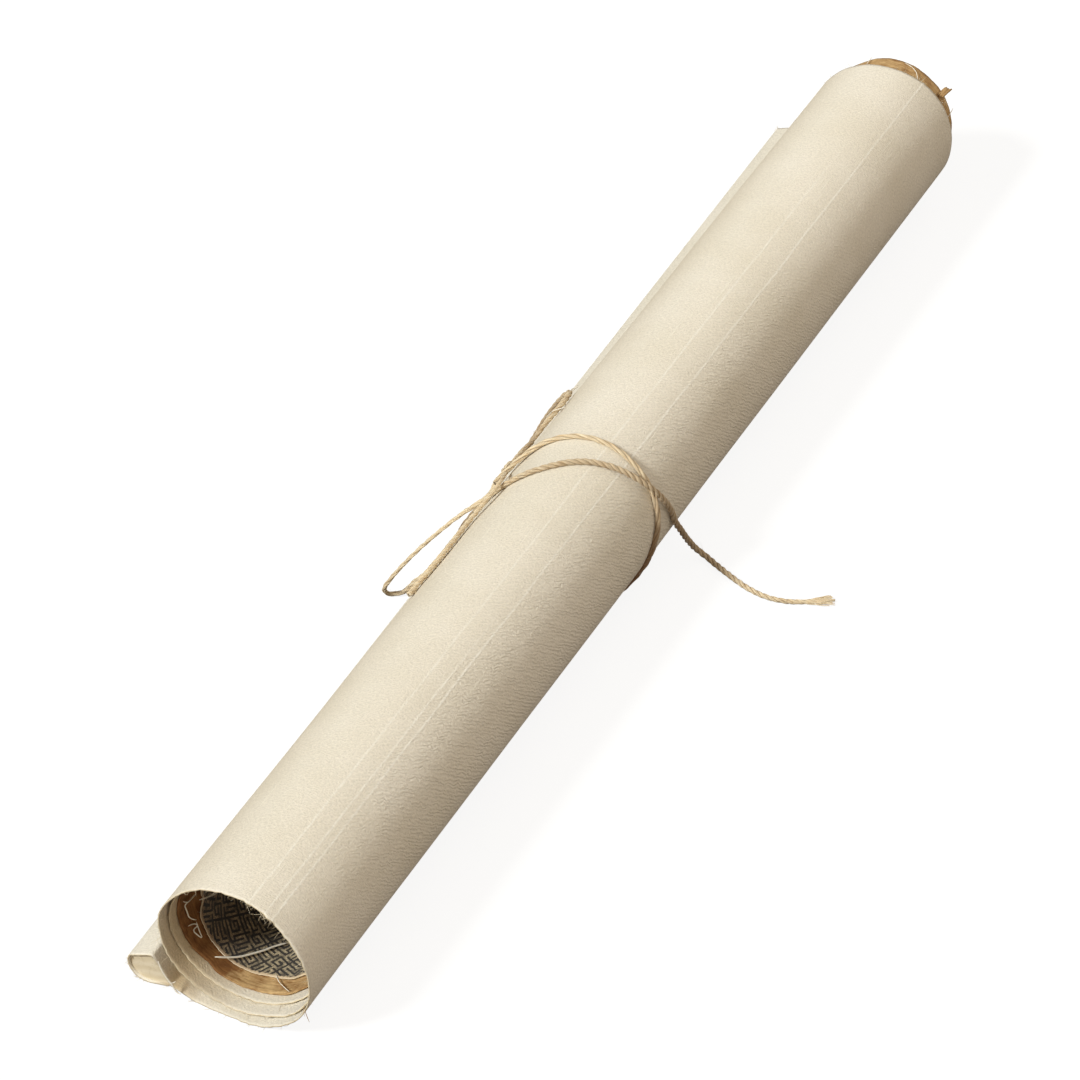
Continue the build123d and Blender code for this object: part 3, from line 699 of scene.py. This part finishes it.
# %% Far loop, short end and the ring round the bundle
for name, cad, route, far_end, dust_and_shade, girth, brown_and_shade in (
        ("far_loop_twine", "twine_far_loop", FAR_LOOP, "object", 0.7,
         (0.8, 0.8, 0.6, 0.85, 0.9, 0.9, 0.9, 0.85, 0.8, 0.7, 0.7),
         (0.15, 0.2, 0.4, 0.15, 0.15, 0.3, 0.45, 0.45, 0.5, 0.4, 0.3)),
        ("short_end_twine", "twine_short_end", SHORT_END, "bare", 0.2,
         (0.65, 0.6, 0.65, 0.8, 0.85, 0.9, 0.8), (0, 0, 0.05, 0.05, 0, 0, 0))):
    line = smooth_line(route)
    piece = add_twine(name, line, [cad], girth=girth, brown_and_shade=brown_and_shade, dust_and_shade=dust_and_shade)
    if far_end == "bare":
        add_brush("short_end_brush", line[-int(SHORT_BRUSH / STEP):], 24, 2.2, 0.28, 53, twine)
    print(name, "%.1f mm" % length_of(line))
# the ring is darkest where it runs round the shaded flank and under the roll: painted shade
ring_line = smooth_line(WRAP)
add_twine("ring_twine", ring_line, ["twine_wrap"], lay=17.0,
          girth=(0.8, 0.8, 0.8, 0.85, 0.9, 0.9, 0.75, 0.55, 0.5, 0.55),
          brown_and_shade=(0, 0, 0, 0.15, 0.8, 1, 1, 1, 0.8, 0.3, 0.1))
print("ring %.1f mm" % length_of(ring_line))

# %% [markdown]
# ## The knot
#
# A bow's knot is a short length of twine wound round itself. A trefoil curve, the
# simplest closed knot, squeezed into the knot's place gives strands that truly go over
# and under one another.

# %% Knot
KNOT_AT, KNOT_DEG, KNOT_UP = -11.8, 33.0, 1.7        # place along, angle round and height above the roll
KNOT_LONG, KNOT_WIDE, KNOT_TALL = 0.85, 0.40, 0.6    # size of one unit of the curve each way, mm
turn = np.linspace(0, 2 * math.pi, 240)
lengthwise = (np.sin(turn) + 2 * np.sin(2 * turn)) * KNOT_LONG
across = (np.cos(turn) - 2 * np.cos(2 * turn)) * KNOT_WIDE
height = -np.sin(3 * turn) * KNOT_TALL
a = math.radians(KNOT_DEG)
outward, round_it = np.array([0, math.cos(a), math.sin(a)]), np.array([0, -math.sin(a), math.cos(a)])
middle = np.array([KNOT_AT, 0, ROLL_Z]) + outward * (ROLL_R + KNOT_UP)
knot_line = middle + lengthwise[:, None] * [1, 0, 0] + across[:, None] * round_it + height[:, None] * outward
add_twine("knot_twine", knot_line, ["twine_knot"], girth=(0.6, 0.6), lay=6.0, brown_and_shade=(0.05, 0.05))
print("the knot takes up %.0f mm of twine" % length_of(knot_line))

# %% [markdown]
# ## Rolled sheets
#
# A rolled sheet is one profile in the plane across the roll, carried along it. The
# profile is a spiral of half circles, each half a pitch smaller than the one before. A
# sheet's place on the spiral is counted in turns: 0 is on the table, 0.5 is the top of
# the outer turn, 1 is on the table again. The sheet's two edges are not square to the
# roll: it was pushed out of line when it was rolled, so each edge is a line given by a
# few measured places, with a little raggedness.

# %% Spiral
STAVE_SKEW = math.tan(math.radians(0.62))   # the hem drifts away from the roll towards the far end
HEM_NEAR = -226.8        # near end of the hem, where the drift starts
SHEET = 0.5              # thickness that each turn takes up in the solids, mm
HUMP = 0.92 + SHEET / 2 + 0.01       # middle of the lowest sheet where it lies on the pressed twine, mm
LAYER = 0.52             # each sheet above it is this much higher
HUMP_HALF, HUMP_PAST = 4.2, 2        # half the hump's width, and how far it runs past the twine's ends


def spiral(turns):
    """Middle of the sheet at a place in turns: angle 270 - 360 t, radius half a pitch less every half turn."""
    half = np.floor(turns * 2)
    radius = ROLL_R - half * PITCH / 2 - SHEET / 2
    centre = ROLL_Z + np.where(half % 2 == 1, PITCH / 2, 0.0)
    angle = np.radians(270 - 360 * turns)
    return radius * np.cos(angle), centre + radius * np.sin(angle)


def over_the_strand(x, y, z, turns):
    """Lifts a sheet over the pressed twine: the larger of its height and that of a hump beside the strand."""
    lowest = SHEET / 2 + 0.01
    depth = np.floor(np.clip(turns, 0, 9) + 0.5)
    a, b = UNDER_SHEET
    reach = np.linalg.norm(b - a)
    way = (b - a) / reach
    beside = (x - a[0]) * way[1] - (y - a[1]) * way[0]
    ahead = (x - a[0]) * way[0] + (y - a[1]) * way[1]
    within = (ahead > -HUMP_PAST) & (ahead < reach + HUMP_PAST)
    hump = np.where(within, (HUMP + LAYER * depth) * np.exp(-(np.abs(beside) / HUMP_HALF) ** 4), 0)
    return np.maximum(np.maximum(z, np.where(turns < 0.5, lowest, -9)), hump)


def uneven(turns, x):
    """How far the sheet stands off its spiral: slow waves along the roll that grow towards its ends."""
    angle = 2 * math.pi * turns
    ends = np.exp(-np.abs(np.abs(x) - HALF) / 14)
    waves = 0.06 * np.sin(x / 37 + 2 * angle + 1) + 0.042 * np.sin(x / 19 - 3 * angle)
    loose = 0.10 * np.sin(7 * angle + turns * 3) * ends
    # at the open end the second turn stands half a millimetre off the outer one, in two places
    inward = np.maximum(x + HALF, 0)
    for place, width, gap, fades in ((1.06, 0.035, 0.55, 9), (1.73, 0.09, 0.45, 12)):
        loose = loose - gap * np.exp(-((turns - place) / width) ** 2) * np.exp(-inward / fades)
    return waves + loose


# %% [markdown]
# The rows of the cream sheet follow it from the hem's glued end, round the stave, down
# to the table, under the roll and up into the spiral. The hem's profile is a quarter
# round standing on its round side.

# %% Profile of the cream sheet
HEM_Y = 31.6             # middle of the hem's round side at its near end
CREAM_TURNS = 2.64


def softened(points, cut, steps=7):
    """Straight runs whose corners become quadratic arcs that start and end cut away from the corner."""
    points = np.array(points, float)
    before, at, after = points[:-2], points[1:-1], points[2:]
    into = at + (before - at) * np.minimum(cut / np.linalg.norm(before - at, axis=1), 0.5)[:, None]
    out = at + (after - at) * np.minimum(cut / np.linalg.norm(after - at, axis=1), 0.5)[:, None]
    t = np.linspace(0, 1, steps)[None, :, None]
    arcs = into[:, None] * (1 - t) ** 2 + 2 * at[:, None] * t * (1 - t) + out[:, None] * t ** 2
    return np.concatenate([points[:1], arcs.reshape(-1, 2), points[-1:]])


inset = SHEET / 2
arc = np.radians(np.linspace(-101, 28, 26))
round_side = np.column_stack([np.cos(arc), np.sin(arc)]) * (HEM_R - inset) + (HEM_Y, HEM_R)
# from the glued end to the foot and up the round side, over the top, down the back and along the table
glued_end = (23.9, 1.62 + inset)
down = softened([round_side[-1], (29.35, 12.3), (23.15, 1.95), (15.0, inset), (8.0, inset)], 1.0)
flat = np.column_stack([np.linspace(7.0, 0.6, 5), np.full(5, inset)])
outer = np.concatenate([[glued_end], round_side, down[1:], flat])
RIDGES = [(270 - deg) / 360 for deg in (121.5, 103, 115.5)]      # thick threads along the roll, in turns
turns = np.unique(np.round(np.concatenate([np.linspace(0, CREAM_TURNS, 290)] + [
    ridge + np.linspace(-0.007, 0.007, 13) for ridge in RIDGES]), 5))
profile = np.concatenate([outer, np.column_stack(spiral(turns))])
place_in_turns = np.concatenate([np.full(len(outer), -0.01), turns])
on_table = place_in_turns < 0
moved = np.clip(profile[:, 0] / 15, 0, 1) * on_table     # share of the hem's drift
sheet_run = along(profile)
print("cream sheet: %d rows, %.0f mm long" % (len(profile), sheet_run[-1]))

# %% Edges of the cream sheet
# near edge as (turns, mm past the roll's nominal end), read off the photograph turn by turn
NEAR = ((-0.01, -0.4), (0.0, -0.4), (0.33, -1.1), (0.47, 0.4), (0.60, -0.6), (0.69, -1.5), (0.75, -0.2),
        (0.83, 0.3), (1.0, 2.3), (1.083, 2.7), (1.2, 2.6), (1.4, 2.8), (1.6, 2.9), (1.694, 3.0),
        (1.778, 4.0), (1.833, 4.8), (2.0, 6.7), (2.083, 7.7), (2.2, 8.2), (2.4, 8.6), (2.64, 9.0))
# far edge as (turns, mm past the nominal end); the hidden inner turns stay a little inside the outer one
FAR = ((-0.01, 2.0), (0.0, 3.0), (0.2, 3.9), (0.275, 4.3), (0.314, 4.7), (0.358, 5.3), (0.40, 5.0),
       (0.444, 4.0), (0.486, 3.0), (0.528, 2.6), (0.575, 1.2), (0.7, 0.6), (0.9, 0.8), (1.1, 2.0),
       (1.35, 3.6), (1.6, 0.5), (1.9, -0.6), (2.2, 2.0), (2.4, 2.4), (2.64, -1.0))
# edges of the sheet on the table and round the hem as (mm from the roll's axis, place along the roll)
NEAR_ON_TABLE = ((0, -227.7), (8, -227.7), (15, -227.2), (21, -226.2), (24, -226.6), (38, -226.8))
FAR_ON_TABLE = ((0, 229.8), (6, 229.6), (15, 230.5), (24, 232.2), (38, 232.8))


def along_edge(table, turns, ragged, seed):
    """Straight between the measured places, smoothed by a moving mean, plus ragged noise."""
    fine = np.linspace(turns.min(), turns.max(), 1500)
    level = np.interp(fine, *np.array(table).T)
    level = np.convolve(np.pad(level, 12, mode="edge"), np.ones(25) / 25, "valid")
    level = np.interp(turns, fine, level)
    return level + ragged * blend_noise(turns * 90, turns * 31, seed)


from_axis = profile[:, 0]
near_edge = along_edge(NEAR, place_in_turns, 0.38, 5) - HALF
far_edge = along_edge(FAR, place_in_turns, 0.15, 6) + HALF
near_on_table = np.interp(from_axis, *np.array(NEAR_ON_TABLE).T)
near_on_table = near_on_table + 0.12 * blend_noise(sheet_run * 1.1, sheet_run * 0.7, 7)
far_on_table = np.interp(from_axis, *np.array(FAR_ON_TABLE).T)
far_on_table = far_on_table + 0.35 * blend_noise(sheet_run * 0.8, sheet_run * 0.37, 8)
near_edge = np.where(on_table, near_on_table, near_edge)
far_edge = np.where(on_table, far_on_table, far_edge)
print("near edge from %.1f to %.1f mm" % (near_edge.min(), near_edge.max()))

# %% Thick threads along the roll
RIDGE_TALL = (0.11, 0.08, 0.09)      # mm
RIDGE_PALE = (1.0, 0.7, 0.85)        # how much paler than the cloth, as a share
RIDGE_ENDS = (300, 190, -80)         # the third one fades out before it reaches the twine, mm
RIDGE_RELIEF, RIDGE_COLOUR = 0.0019, 0.0016      # half widths of relief and colour, in turns


def thick_thread(turns, x, which, width):
    """A bell curve across the thread, which wanders a little round the roll and is thicker in some places."""
    wander = 0.0016 * blend_noise(x / 43, x / 17, which + 1)
    reach = np.clip((RIDGE_ENDS[which] - x) / 40, 0, 1)
    across = np.exp(-((turns - RIDGES[which] - wander) / width) ** 2)
    return reach * across * (0.65 + 0.35 * blend_noise(x / 6, x / 2.5, which + 10))


def all_threads(turns, x, shares, width):
    """The thick threads together, each times its share."""
    return sum(share * thick_thread(turns, x, k, width) for k, share in enumerate(shares))


# %% Carrying a profile along the roll
CLOTH_MM = 0.45          # thickness of every sheet, a little less than the room it has in the solids
# columns are close together at the two ends, where the edges show, and 4 mm apart between
COLUMNS = np.unique(np.concatenate([
    np.linspace(0, 0.02, 10), np.linspace(0.02, 0.98, 110), np.linspace(0.98, 1, 10)]))


def carried(profile, near_edge, far_edge, turns, moved):
    """Grid of points: each profile point runs from its near edge to its far one, leaning out where uneven."""
    way = np.gradient(profile, axis=0)
    way /= np.linalg.norm(way, axis=1, keepdims=True)
    outward = np.stack([-way[:, 1], way[:, 0]], 1)
    x = near_edge[:, None] + (far_edge - near_edge)[:, None] * COLUMNS
    turns = turns[:, None]
    off = uneven(turns, x) * (turns > 0.03) * np.clip(turns * 12, 0, 1)
    off = off + all_threads(turns, x, RIDGE_TALL, RIDGE_RELIEF)
    y = profile[:, :1] + moved[:, None] * (x - HEM_NEAR) * STAVE_SKEW + outward[:, :1] * off
    z = profile[:, 1:] + outward[:, 1:] * off
    return np.stack([x, y, over_the_strand(x, y, z, np.maximum(turns, 0) + 0 * x)], -1)


def add_sheet(name, profile, near_edge, far_edge, turns, moved, materials):
    """A carried profile with a UV of its two lengths in mm, and thickness half to each side."""
    points = carried(profile, near_edge, far_edge, turns, moved)
    run = along(profile)
    faces = grid_faces(len(profile), len(COLUMNS))
    uv = np.stack([np.repeat(run[:, None], len(COLUMNS), 1), points[..., 0] - near_edge[:, None]], -1)
    piece = add_mesh(name, points.reshape(-1, 3), faces, uv.reshape(-1, 2), materials)
    thick = piece.modifiers.new("thickness", "SOLIDIFY")
    thick.thickness, thick.offset, thick.material_offset_rim = CLOTH_MM / 1000, 0, len(materials) - 1
    print("%s: %d faces, %.0f mm from end to end" % (name, len(faces), run[-1]))
    return piece, points, run[-1]


# %% Cream sheet
cream_sheet, points, _ = add_sheet("cream_sheet_linen", profile, near_edge, far_edge, place_in_turns, moved,
                                   (cream, cut_edge))
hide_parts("cream_sheet")

# %% [markdown]
# The material reads three numbers kept with each point of the cream sheet: where the
# thick threads lie, how much painted shade it has, and how deep its ripples are.
# The ripples are deepest on the flank that faces away from the hem, and fade towards the
# top and both ends of the roll; besides their relief they add painted shading to the colour.

# %% What the cream material reads
def towards_hem(turns):
    """1 on the side of a turn that faces the hem, 0 on the other, by the cosine of the angle from there."""
    return np.clip((np.cos(math.radians(260) - 2 * math.pi * turns) + 0.1) / 0.7, 0, 1)


x = points[..., 0]
keep_with(cream_sheet, "thick_thread", all_threads(place_in_turns[:, None], x, RIDGE_PALE, RIDGE_COLOUR))
# painted shade on the inner turns, most on the side towards the hem, and in the crease beside the hem
inner = np.clip((place_in_turns - 0.55) / 0.3, 0, 1) * (0.10 + 0.6 * towards_hem(place_in_turns))
crease = np.where(on_table, 0.85 * np.exp(-((from_axis - 21) / 5.5) ** 2) * (profile[:, 1] < 11), 0)
keep_with(cream_sheet, "painted_shade", np.repeat(np.maximum(inner, crease), len(COLUMNS)))
shaded_side = np.clip((0.48 - place_in_turns) / 0.11, 0, 1) * (place_in_turns > 0.12)
middle_part = 0.15 + 0.85 * np.clip((160 - x) / 90, 0, 1) * np.clip((x + 222) / 60, 0, 1)
evenly = 0.10 + 0.10 * (place_in_turns > 0.6)
rippled_part = evenly[:, None] + 0.90 * shaded_side[:, None] * middle_part
keep_with(cream_sheet, "rippled", rippled_part)
print("deep ripples at %.0f%% of its points" % (100 * (rippled_part > 0.5).mean()))

# %% [markdown]
# ## Brown paper and brocade
#
# The two inner sheets are made the same way, each for a little more than one turn, in
# line with the end of the sheet outside it.

# %% Inner sheets
INNER_TURNS = 1.03


def inner_sheet(name, start, near, far, ragged, materials, node_name, seed):
    """One sheet of the spiral from its start over INNER_TURNS, between its near and far edges."""
    turns = np.linspace(start, start + INNER_TURNS, 200)
    near_edge = along_edge(near, turns, ragged, seed) - HALF
    far_edge = along_edge(far, turns, ragged, seed + 1) + HALF
    piece, points, round_mm = add_sheet(name, np.column_stack(spiral(turns)), near_edge, far_edge, turns,
                                        np.zeros(len(turns)), materials)
    # painted shade in the mouth on the side towards the hem, less and less for 70 mm further in
    near_mouth = np.clip(1.2 - (points[..., 0] + HALF) / 60, 0, 1)
    keep_with(piece, "painted_shade", towards_hem(turns)[:, None] * near_mouth)
    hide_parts(node_name)
    return piece, points, round_mm


BROWN_NEAR = ((2.67, 7.0), (2.75, 7.4), (2.833, 8.0), (2.89, 9.4), (2.92, 8.6), (3.0, 10.2), (3.083, 11.0),
              (3.111, 12.5), (3.3, 12.5), (3.5, 12.0), (3.7, 11.5))
BROWN_FAR = ((2.67, 6.0), (3.0, 5.0), (3.253, 9.8), (3.272, 10.3), (3.317, 11.6), (3.369, 12.1),
             (3.456, 12.4), (3.506, 11.8), (3.558, 10.3), (3.589, 8.4), (3.7, 6.5))
BROCADE_NEAR = ((3.73, 19.5), (3.781, 20.0), (3.786, 18.0), (3.806, 16.0), (3.861, 14.8), (3.922, 14.3),
                (3.972, 15.0), (4.0, 16.0), (4.014, 16.5), (4.069, 17.0), (4.089, 18.5), (4.3, 18.0),
                (4.5, 17.0), (4.76, 18.0))
BROCADE_FAR = ((3.73, -3.0), (4.2, -2.0), (4.76, -3.5))
_, brown_points, _ = inner_sheet("brown_paper_sheet", 2.67, BROWN_NEAR, BROWN_FAR, 0.2, (brown,),
                                 "brown_paper", 31)
brocade_piece, brocade_points, brocade_run = inner_sheet(
    "brocade_cloth", 3.73, BROCADE_NEAR, BROCADE_FAR, 0.25, (brocade, cut_edge),
    "brocade_sheet", 41)

# %% Stave
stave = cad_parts["stave"]
stave.data.materials.clear()
stave.data.materials.append(wood)
print("stave:", len(stave.data.polygons), "faces, as packed")

# %% [markdown]
# ## Frayed edges and loose threads
#
# Cut cloth frays: short thread ends stand out of every edge, and the twine bristles with
# fibres. Each fibre is a line that starts in one direction and bends by a random sweep
# that grows with the square of the distance. All fibres of a piece are worked out at
# once, as one array with a row for each fibre, and thin out towards their tips.

# %% Fibres
def add_fibres(name, roots, ways, lengths, radius, sweep, seed, material, rings=5, sides=3):
    """Tubes along root + length * (way * t + random sweep * t squared), thinning to a third at the tip."""
    draw = np.random.default_rng(seed)
    count = len(roots)
    t = np.linspace(0, 1, rings)[None, :, None]
    bend = draw.normal(0, sweep, (count, 1, 3))
    ways = np.asarray(ways)[:, None] / np.linalg.norm(ways, axis=1)[:, None, None]
    line = roots[:, None] + np.asarray(lengths)[:, None, None] * (ways * t + bend * t ** 2)
    tangent = ways + 2 * bend * t
    tangent /= np.linalg.norm(tangent, axis=2, keepdims=True)
    first = np.cross(tangent, [0.31, 0.62, 0.72])
    first /= np.linalg.norm(first, axis=2, keepdims=True)
    second = np.cross(tangent, first)
    around = np.linspace(0, 2 * math.pi, sides, endpoint=False)[:, None]
    thick = (np.asarray(radius) * np.ones(count))[:, None, None, None] * (1 - 0.67 * t[..., None])
    ring = first[:, :, None] * np.cos(around) + second[:, :, None] * np.sin(around)
    verts = line[:, :, None] + ring * thick
    verts[..., 2] = np.maximum(verts[..., 2], CLEAR)
    faces = grid_faces(rings, sides, True)[None] + (np.arange(count) * rings * sides)[:, None, None]
    piece = add_mesh(name, verts.reshape(-1, 3), faces.reshape(-1, 4), None, (material,))
    return piece


# %% Frays of the sheets' edges
def edge_fibres(name, grid, column, count, longest, radius, seed, material, rows=None):
    """Fibres out of one edge of a sheet's grid: random rows, along the roll outward, with a random lean."""
    draw = np.random.default_rng(seed)
    rows = np.arange(len(grid)) if rows is None else rows
    at = draw.uniform(rows[0], rows[-1] - 1, count)
    low, part = at.astype(int), (at % 1)[:, None]
    edge = grid[:, column]
    roots = edge[low] * (1 - part) + edge[low + 1] * part
    out = -1.0 if column == 0 else 1.0
    ways = draw.normal(0, 0.45, (count, 3)) + [out, 0, 0]
    lengths = longest * draw.uniform(0.15, 1, count) ** 2
    return add_fibres(name, roots - [out * 0.1, 0, 0], ways, lengths, radius, 0.5, seed + 1, material)


edge_fibres("near_edge_frays", points, 0, 520, 2.3, 0.08, 61, cut_edge)
edge_fibres("far_edge_frays", points, -1, 300, 2.2, 0.08, 63, cut_edge)
edge_fibres("brown_near_frays", brown_points, 0, 160, 1.0, 0.07, 65, brown)
edge_fibres("brown_far_frays", brown_points, -1, 90, 1.2, 0.06, 67, brown)
edge_fibres("brocade_frays", brocade_points, 0, 140, 0.9, 0.06, 69, cut_edge)
hem_rows = np.flatnonzero(profile[:len(outer), 0] > 21)
edge_fibres("hem_far_frays", points, -1, 60, 4.0, 0.08, 71, cut_edge, rows=hem_rows)
print("frayed rows of the hem:", len(hem_rows))


# %% Thread builder
THREAD_SIDES = 6
TAPER_MM = 1.5           # a thread thins out over this length at both ends, to 45 per cent


def add_threads(name, lines, material, step=0.5):
    """Smooth tubes, one for each (control points, radius), in one mesh and closed by one face at each end."""
    sides = THREAD_SIDES
    around = np.linspace(0, 2 * math.pi, sides, endpoint=False)[None, :, None]
    verts, faces, first = [], [], 0
    for places, radius in lines:
        line = smooth_line(places, step)
        _, side, up = steady_frame(line)
        run = along(line)
        taper = np.minimum(1, 0.45 + 0.55 * np.minimum(run, run[-1] - run) / TAPER_MM)
        ring = side[:, None] * np.cos(around) + up[:, None] * np.sin(around)
        verts.append((line[:, None] + ring * radius * taper[:, None, None]).reshape(-1, 3))
        faces += grid_faces(len(line), sides, True, first)[:, ::-1].tolist()
        last = first + (len(line) - 1) * sides
        faces += [list(range(first, first + sides)), list(range(last + sides - 1, last - 1, -1))]
        first = last + sides
    verts = np.concatenate(verts)
    verts[:, 2] = np.maximum(verts[:, 2], CLEAR)
    piece = add_mesh(name, verts, faces, None, (material,))
    return piece


def at_end(end, radius, places):
    """Places at one radius from the axis: mm along from the end at end * HALF, and angle round the axis."""
    along_roll, degrees = np.array(places, float).T
    angle = np.radians(degrees)
    return np.column_stack([end * HALF + along_roll, radius * np.cos(angle), ROLL_Z + radius * np.sin(angle)])


# %% Loose threads in the mouth and at the far rim
add_threads("white_threads", [
    (at_end(-1, 21, ((10.8, 310.2), (13.8, 301.6), (16.7, 294.2), (20.4, 287.5), (23.7, 281.4),
                     (27.4, 275.9), (29.6, 270))), 0.32),
    (at_end(-1, 21, ((15.8, 0), (20.3, 352.4), (24.7, 346.5))), 0.27),
    (at_end(-1, 21.9, ((17.6, 262), (15.0, 256), (12.6, 246), (10.7, 238))), 0.13),
    ([(-228.2, 26.0, 13.0), (-228.3, 25.4, 11.1), (-228.4, 23.9, 8.0), (-228.3, 21.7, 5.2),
      (-228.3, 19.8, 1.9), (-228.4, 18.7, 2.6)], 0.27),
    ([(-228.3, 21.9, 5.6), (-228.5, 20.5, 6.6), (-228.4, 20.2, 7.4)], 0.18)], cotton)
add_threads("tan_threads", [
    (at_end(-1, 22.3, ((16.3, 4.7), (12.8, 5.3), (9.2, 8.5), (10.2, 2.0), (10.8, 356.8), (11.1, 349.1),
                       (13.8, 342.3))), 0.22),
    (at_end(-1, 22.3, ((9.7, 345), (12.1, 342.8), (14.0, 336.8), (10.6, 339.1), (11.5, 332.4), (12.6, 326),
                       (12.9, 333.2), (13.5, 341))), 0.2),
    (at_end(-1, 22.3, ((13.9, 4.7), (11.0, 5.0), (7.5, 17.8))), 0.18)], cotton)
add_threads("far_knob", [
    (at_end(1, 24.4, ((8.2, 139.6), (10.6, 140.4), (12.8, 140.2), (14.6, 141.6))), 0.85),
    (at_end(1, 25.0, ((8.4, 141.0), (11.0, 141.6), (13.6, 142.2), (15.4, 143.4))), 0.5),
    (at_end(1, 23.9, ((8.6, 138.2), (11.4, 138.9), (13.6, 139.4), (14.9, 140.0))), 0.55)],
    brown, step=0.3)
add_threads("dark_threads", [
    ([(-227.9, -23.4, 18.4), (-228.2, -23.9, 16.6), (-228.3, -24.2, 14.8), (-228.4, -25.3, 12.2)], 0.10),
    ([(-227.9, -23.2, 17.4), (-228.3, -23.3, 15.6), (-228.5, -23.9, 14.0)], 0.07)],
    brown)
add_threads("far_threads", [
    (at_end(1, 24, ((10.8, 98.7), (10.7, 104.5), (9.9, 109.3), (8.7, 112.7), (6.5, 116.4))), 0.14),
    (at_end(1, 24, ((10.6, 68.1), (7.9, 68.3), (5.1, 68.5))), 0.14),
    (at_end(1, 24.2, ((6.4, 158.6), (10.0, 158.6), (12.3, 157.0))), 0.15)], cotton)

# %% [markdown]
# ## Fluff of the twine
#
# Natural twine isn't smooth: the ends of its fibres stand out all round, a millimetre or
# two long. They are drawn 0.09 mm thick, wider than real ones, so that they show.

# %% Fluff and bits of fibre
def fluff(name, lines, per_mm, longest, seed):
    """Short fibres out of every strand: each starts at a random place on its line, in any way but down."""
    draw = np.random.default_rng(seed)
    roots = []
    for line in lines:
        count = int(length_of(line) * per_mm)
        roots.append(line[draw.integers(4, len(line) - 4, count)])
    roots = np.concatenate(roots)
    ways = draw.normal(0, 1, roots.shape)
    ways[:, 2] = np.abs(ways[:, 2])
    lengths = 0.8 + longest * draw.uniform(0, 1, len(roots)) ** 3
    return add_fibres(name, roots, ways, lengths, 0.045, 0.35, seed + 1, cotton, rings=4)


ring_above = ring_line[:300]         # the part that isn't under the roll
strands = [near_line, over_line, tail_line, smooth_line(FAR_LOOP), smooth_line(SHORT_END), ring_above]
fluff("twine_fluff", strands, 1.1, 1.9, 81)
BITS = ((0.3, ((31.2, 30, 0.3), (33.6, 31, 0.5), (35.8, 28.5, 0.1), (37.4, 30.5, -0.5))),
        (0.22, ((32.0, 33, 0.2), (34.2, 33.5, -0.1), (36.6, 32, -0.6))),
        (0.14, ((16.5, 32, 1.1), (18.6, 36, 1.3), (19.4, 40, 0.3), (20.6, 44, -0.7))))
add_threads("twine_bits", [([on_roll(*place) for place in places], radius) for radius, places in BITS],
            cotton)
print("fluff on %d strands, and %d bits" % (len(strands), len(BITS)))

# %% [markdown]
# ## Table and light
#
# A pale floor, a soft sun halfway up on the hem's side and towards the open end, and a sky
# that is brighter on the other side. To the camera the floor is white with the roll's shadow
# on it; to the roll it is a warm grey table, so that it doesn't light the roll from below.

# %% Floor
FLOOR_HALF = 6.0         # metres
FLOOR_GLOW = 0.87        # with the lamps' light on it the floor comes to white
WHITE = (1, 1, 1, 1)


def seen_directly(tree):
    """1 for rays from the camera, a gloss or a clear body, 0 for the rest: the largest of the three."""
    ray = node(tree, "LightPath").outputs
    seen = ray["Is Camera Ray"]
    for kind in ("Is Glossy Ray", "Is Transmission Ray"):
        seen = node(tree, "Math", {0: seen, 1: ray[kind]}, operation="MAXIMUM").outputs[0]
    return seen


floor_material, tree, shader = new_material("floor", {
    "Roughness": 1.0, "Specular IOR Level": 0.0, "Emission Color": WHITE})
seen = seen_directly(tree)
tint = node(tree, "Mix", {0: seen, 6: (0.10, 0.07, 0.04, 1), 7: (0.20, 0.20, 0.20, 1)},
            data_type="RGBA").outputs[2]
glow = node(tree, "Math", {0: seen, 1: FLOOR_GLOW}, operation="MULTIPLY").outputs[0]
tree.links.new(glow, shader.inputs["Emission Strength"])
cover(floor_material, shader, tint)
floor_mesh = bpy.data.meshes.new("floor")
square = [(x * FLOOR_HALF, y * FLOOR_HALF, 0) for x, y in ((-1, -1), (1, -1), (1, 1), (-1, 1))]
floor_mesh.from_pydata(square, [], [(0, 1, 2, 3)])
floor_mesh.materials.append(floor_material)
floor = bpy.data.objects.new("floor", floor_mesh)
bpy.context.scene.collection.objects.link(floor)

# %% Light
SUN_POWER, SUN_WIDE = 3.0, 12        # its strength, and its width in degrees, which softens the shadows
SKY_NEAR, SKY_FAR = 0.83, 0.10       # strength of the sky on the -Y side and on the +Y side
sun = bpy.data.objects.new("key", bpy.data.lights.new("key", "SUN"))
sun.data.energy, sun.data.angle = SUN_POWER, math.radians(SUN_WIDE)
sun.data.color = (0.965, 0.99, 0.965)
direction = np.array([-0.80, 0.52, 0.86])            # from the object to the lamp
direction /= np.linalg.norm(direction)
sun.rotation_euler = (math.acos(direction[2]), 0, math.atan2(direction[1], direction[0]) + math.pi / 2)
bpy.context.scene.collection.objects.link(sun)
world = bpy.data.worlds.new("studio")
bpy.context.scene.world = world
world.use_nodes = True
tree = world.node_tree
tree.nodes.clear()
# the room was brighter on the side away from the lamp, which is what lights the roll's flank
toward = node(tree, "SeparateXYZ", {0: node(tree, "TexCoord").outputs["Generated"]}).outputs[1]
strength = node(tree, "MapRange", {0: toward, 1: -1.0, 2: 1.0, 3: SKY_NEAR, 4: SKY_FAR}).outputs[0]
sky = node(tree, "Background", {"Color": (1.0, 0.89, 0.75, 1), "Strength": strength})
blank = node(tree, "Background", {"Color": WHITE, "Strength": 1.0})
both = node(tree, "MixShader", {0: seen_directly(tree), 1: sky.outputs[0], 2: blank.outputs[0]})
node(tree, "OutputWorld", {"Surface": both.outputs[0]})
print("sun %.0f degrees above the table" % math.degrees(math.asin(direction[2])))

# %% Finish
bpy.context.scene.view_settings.view_transform = "Standard"
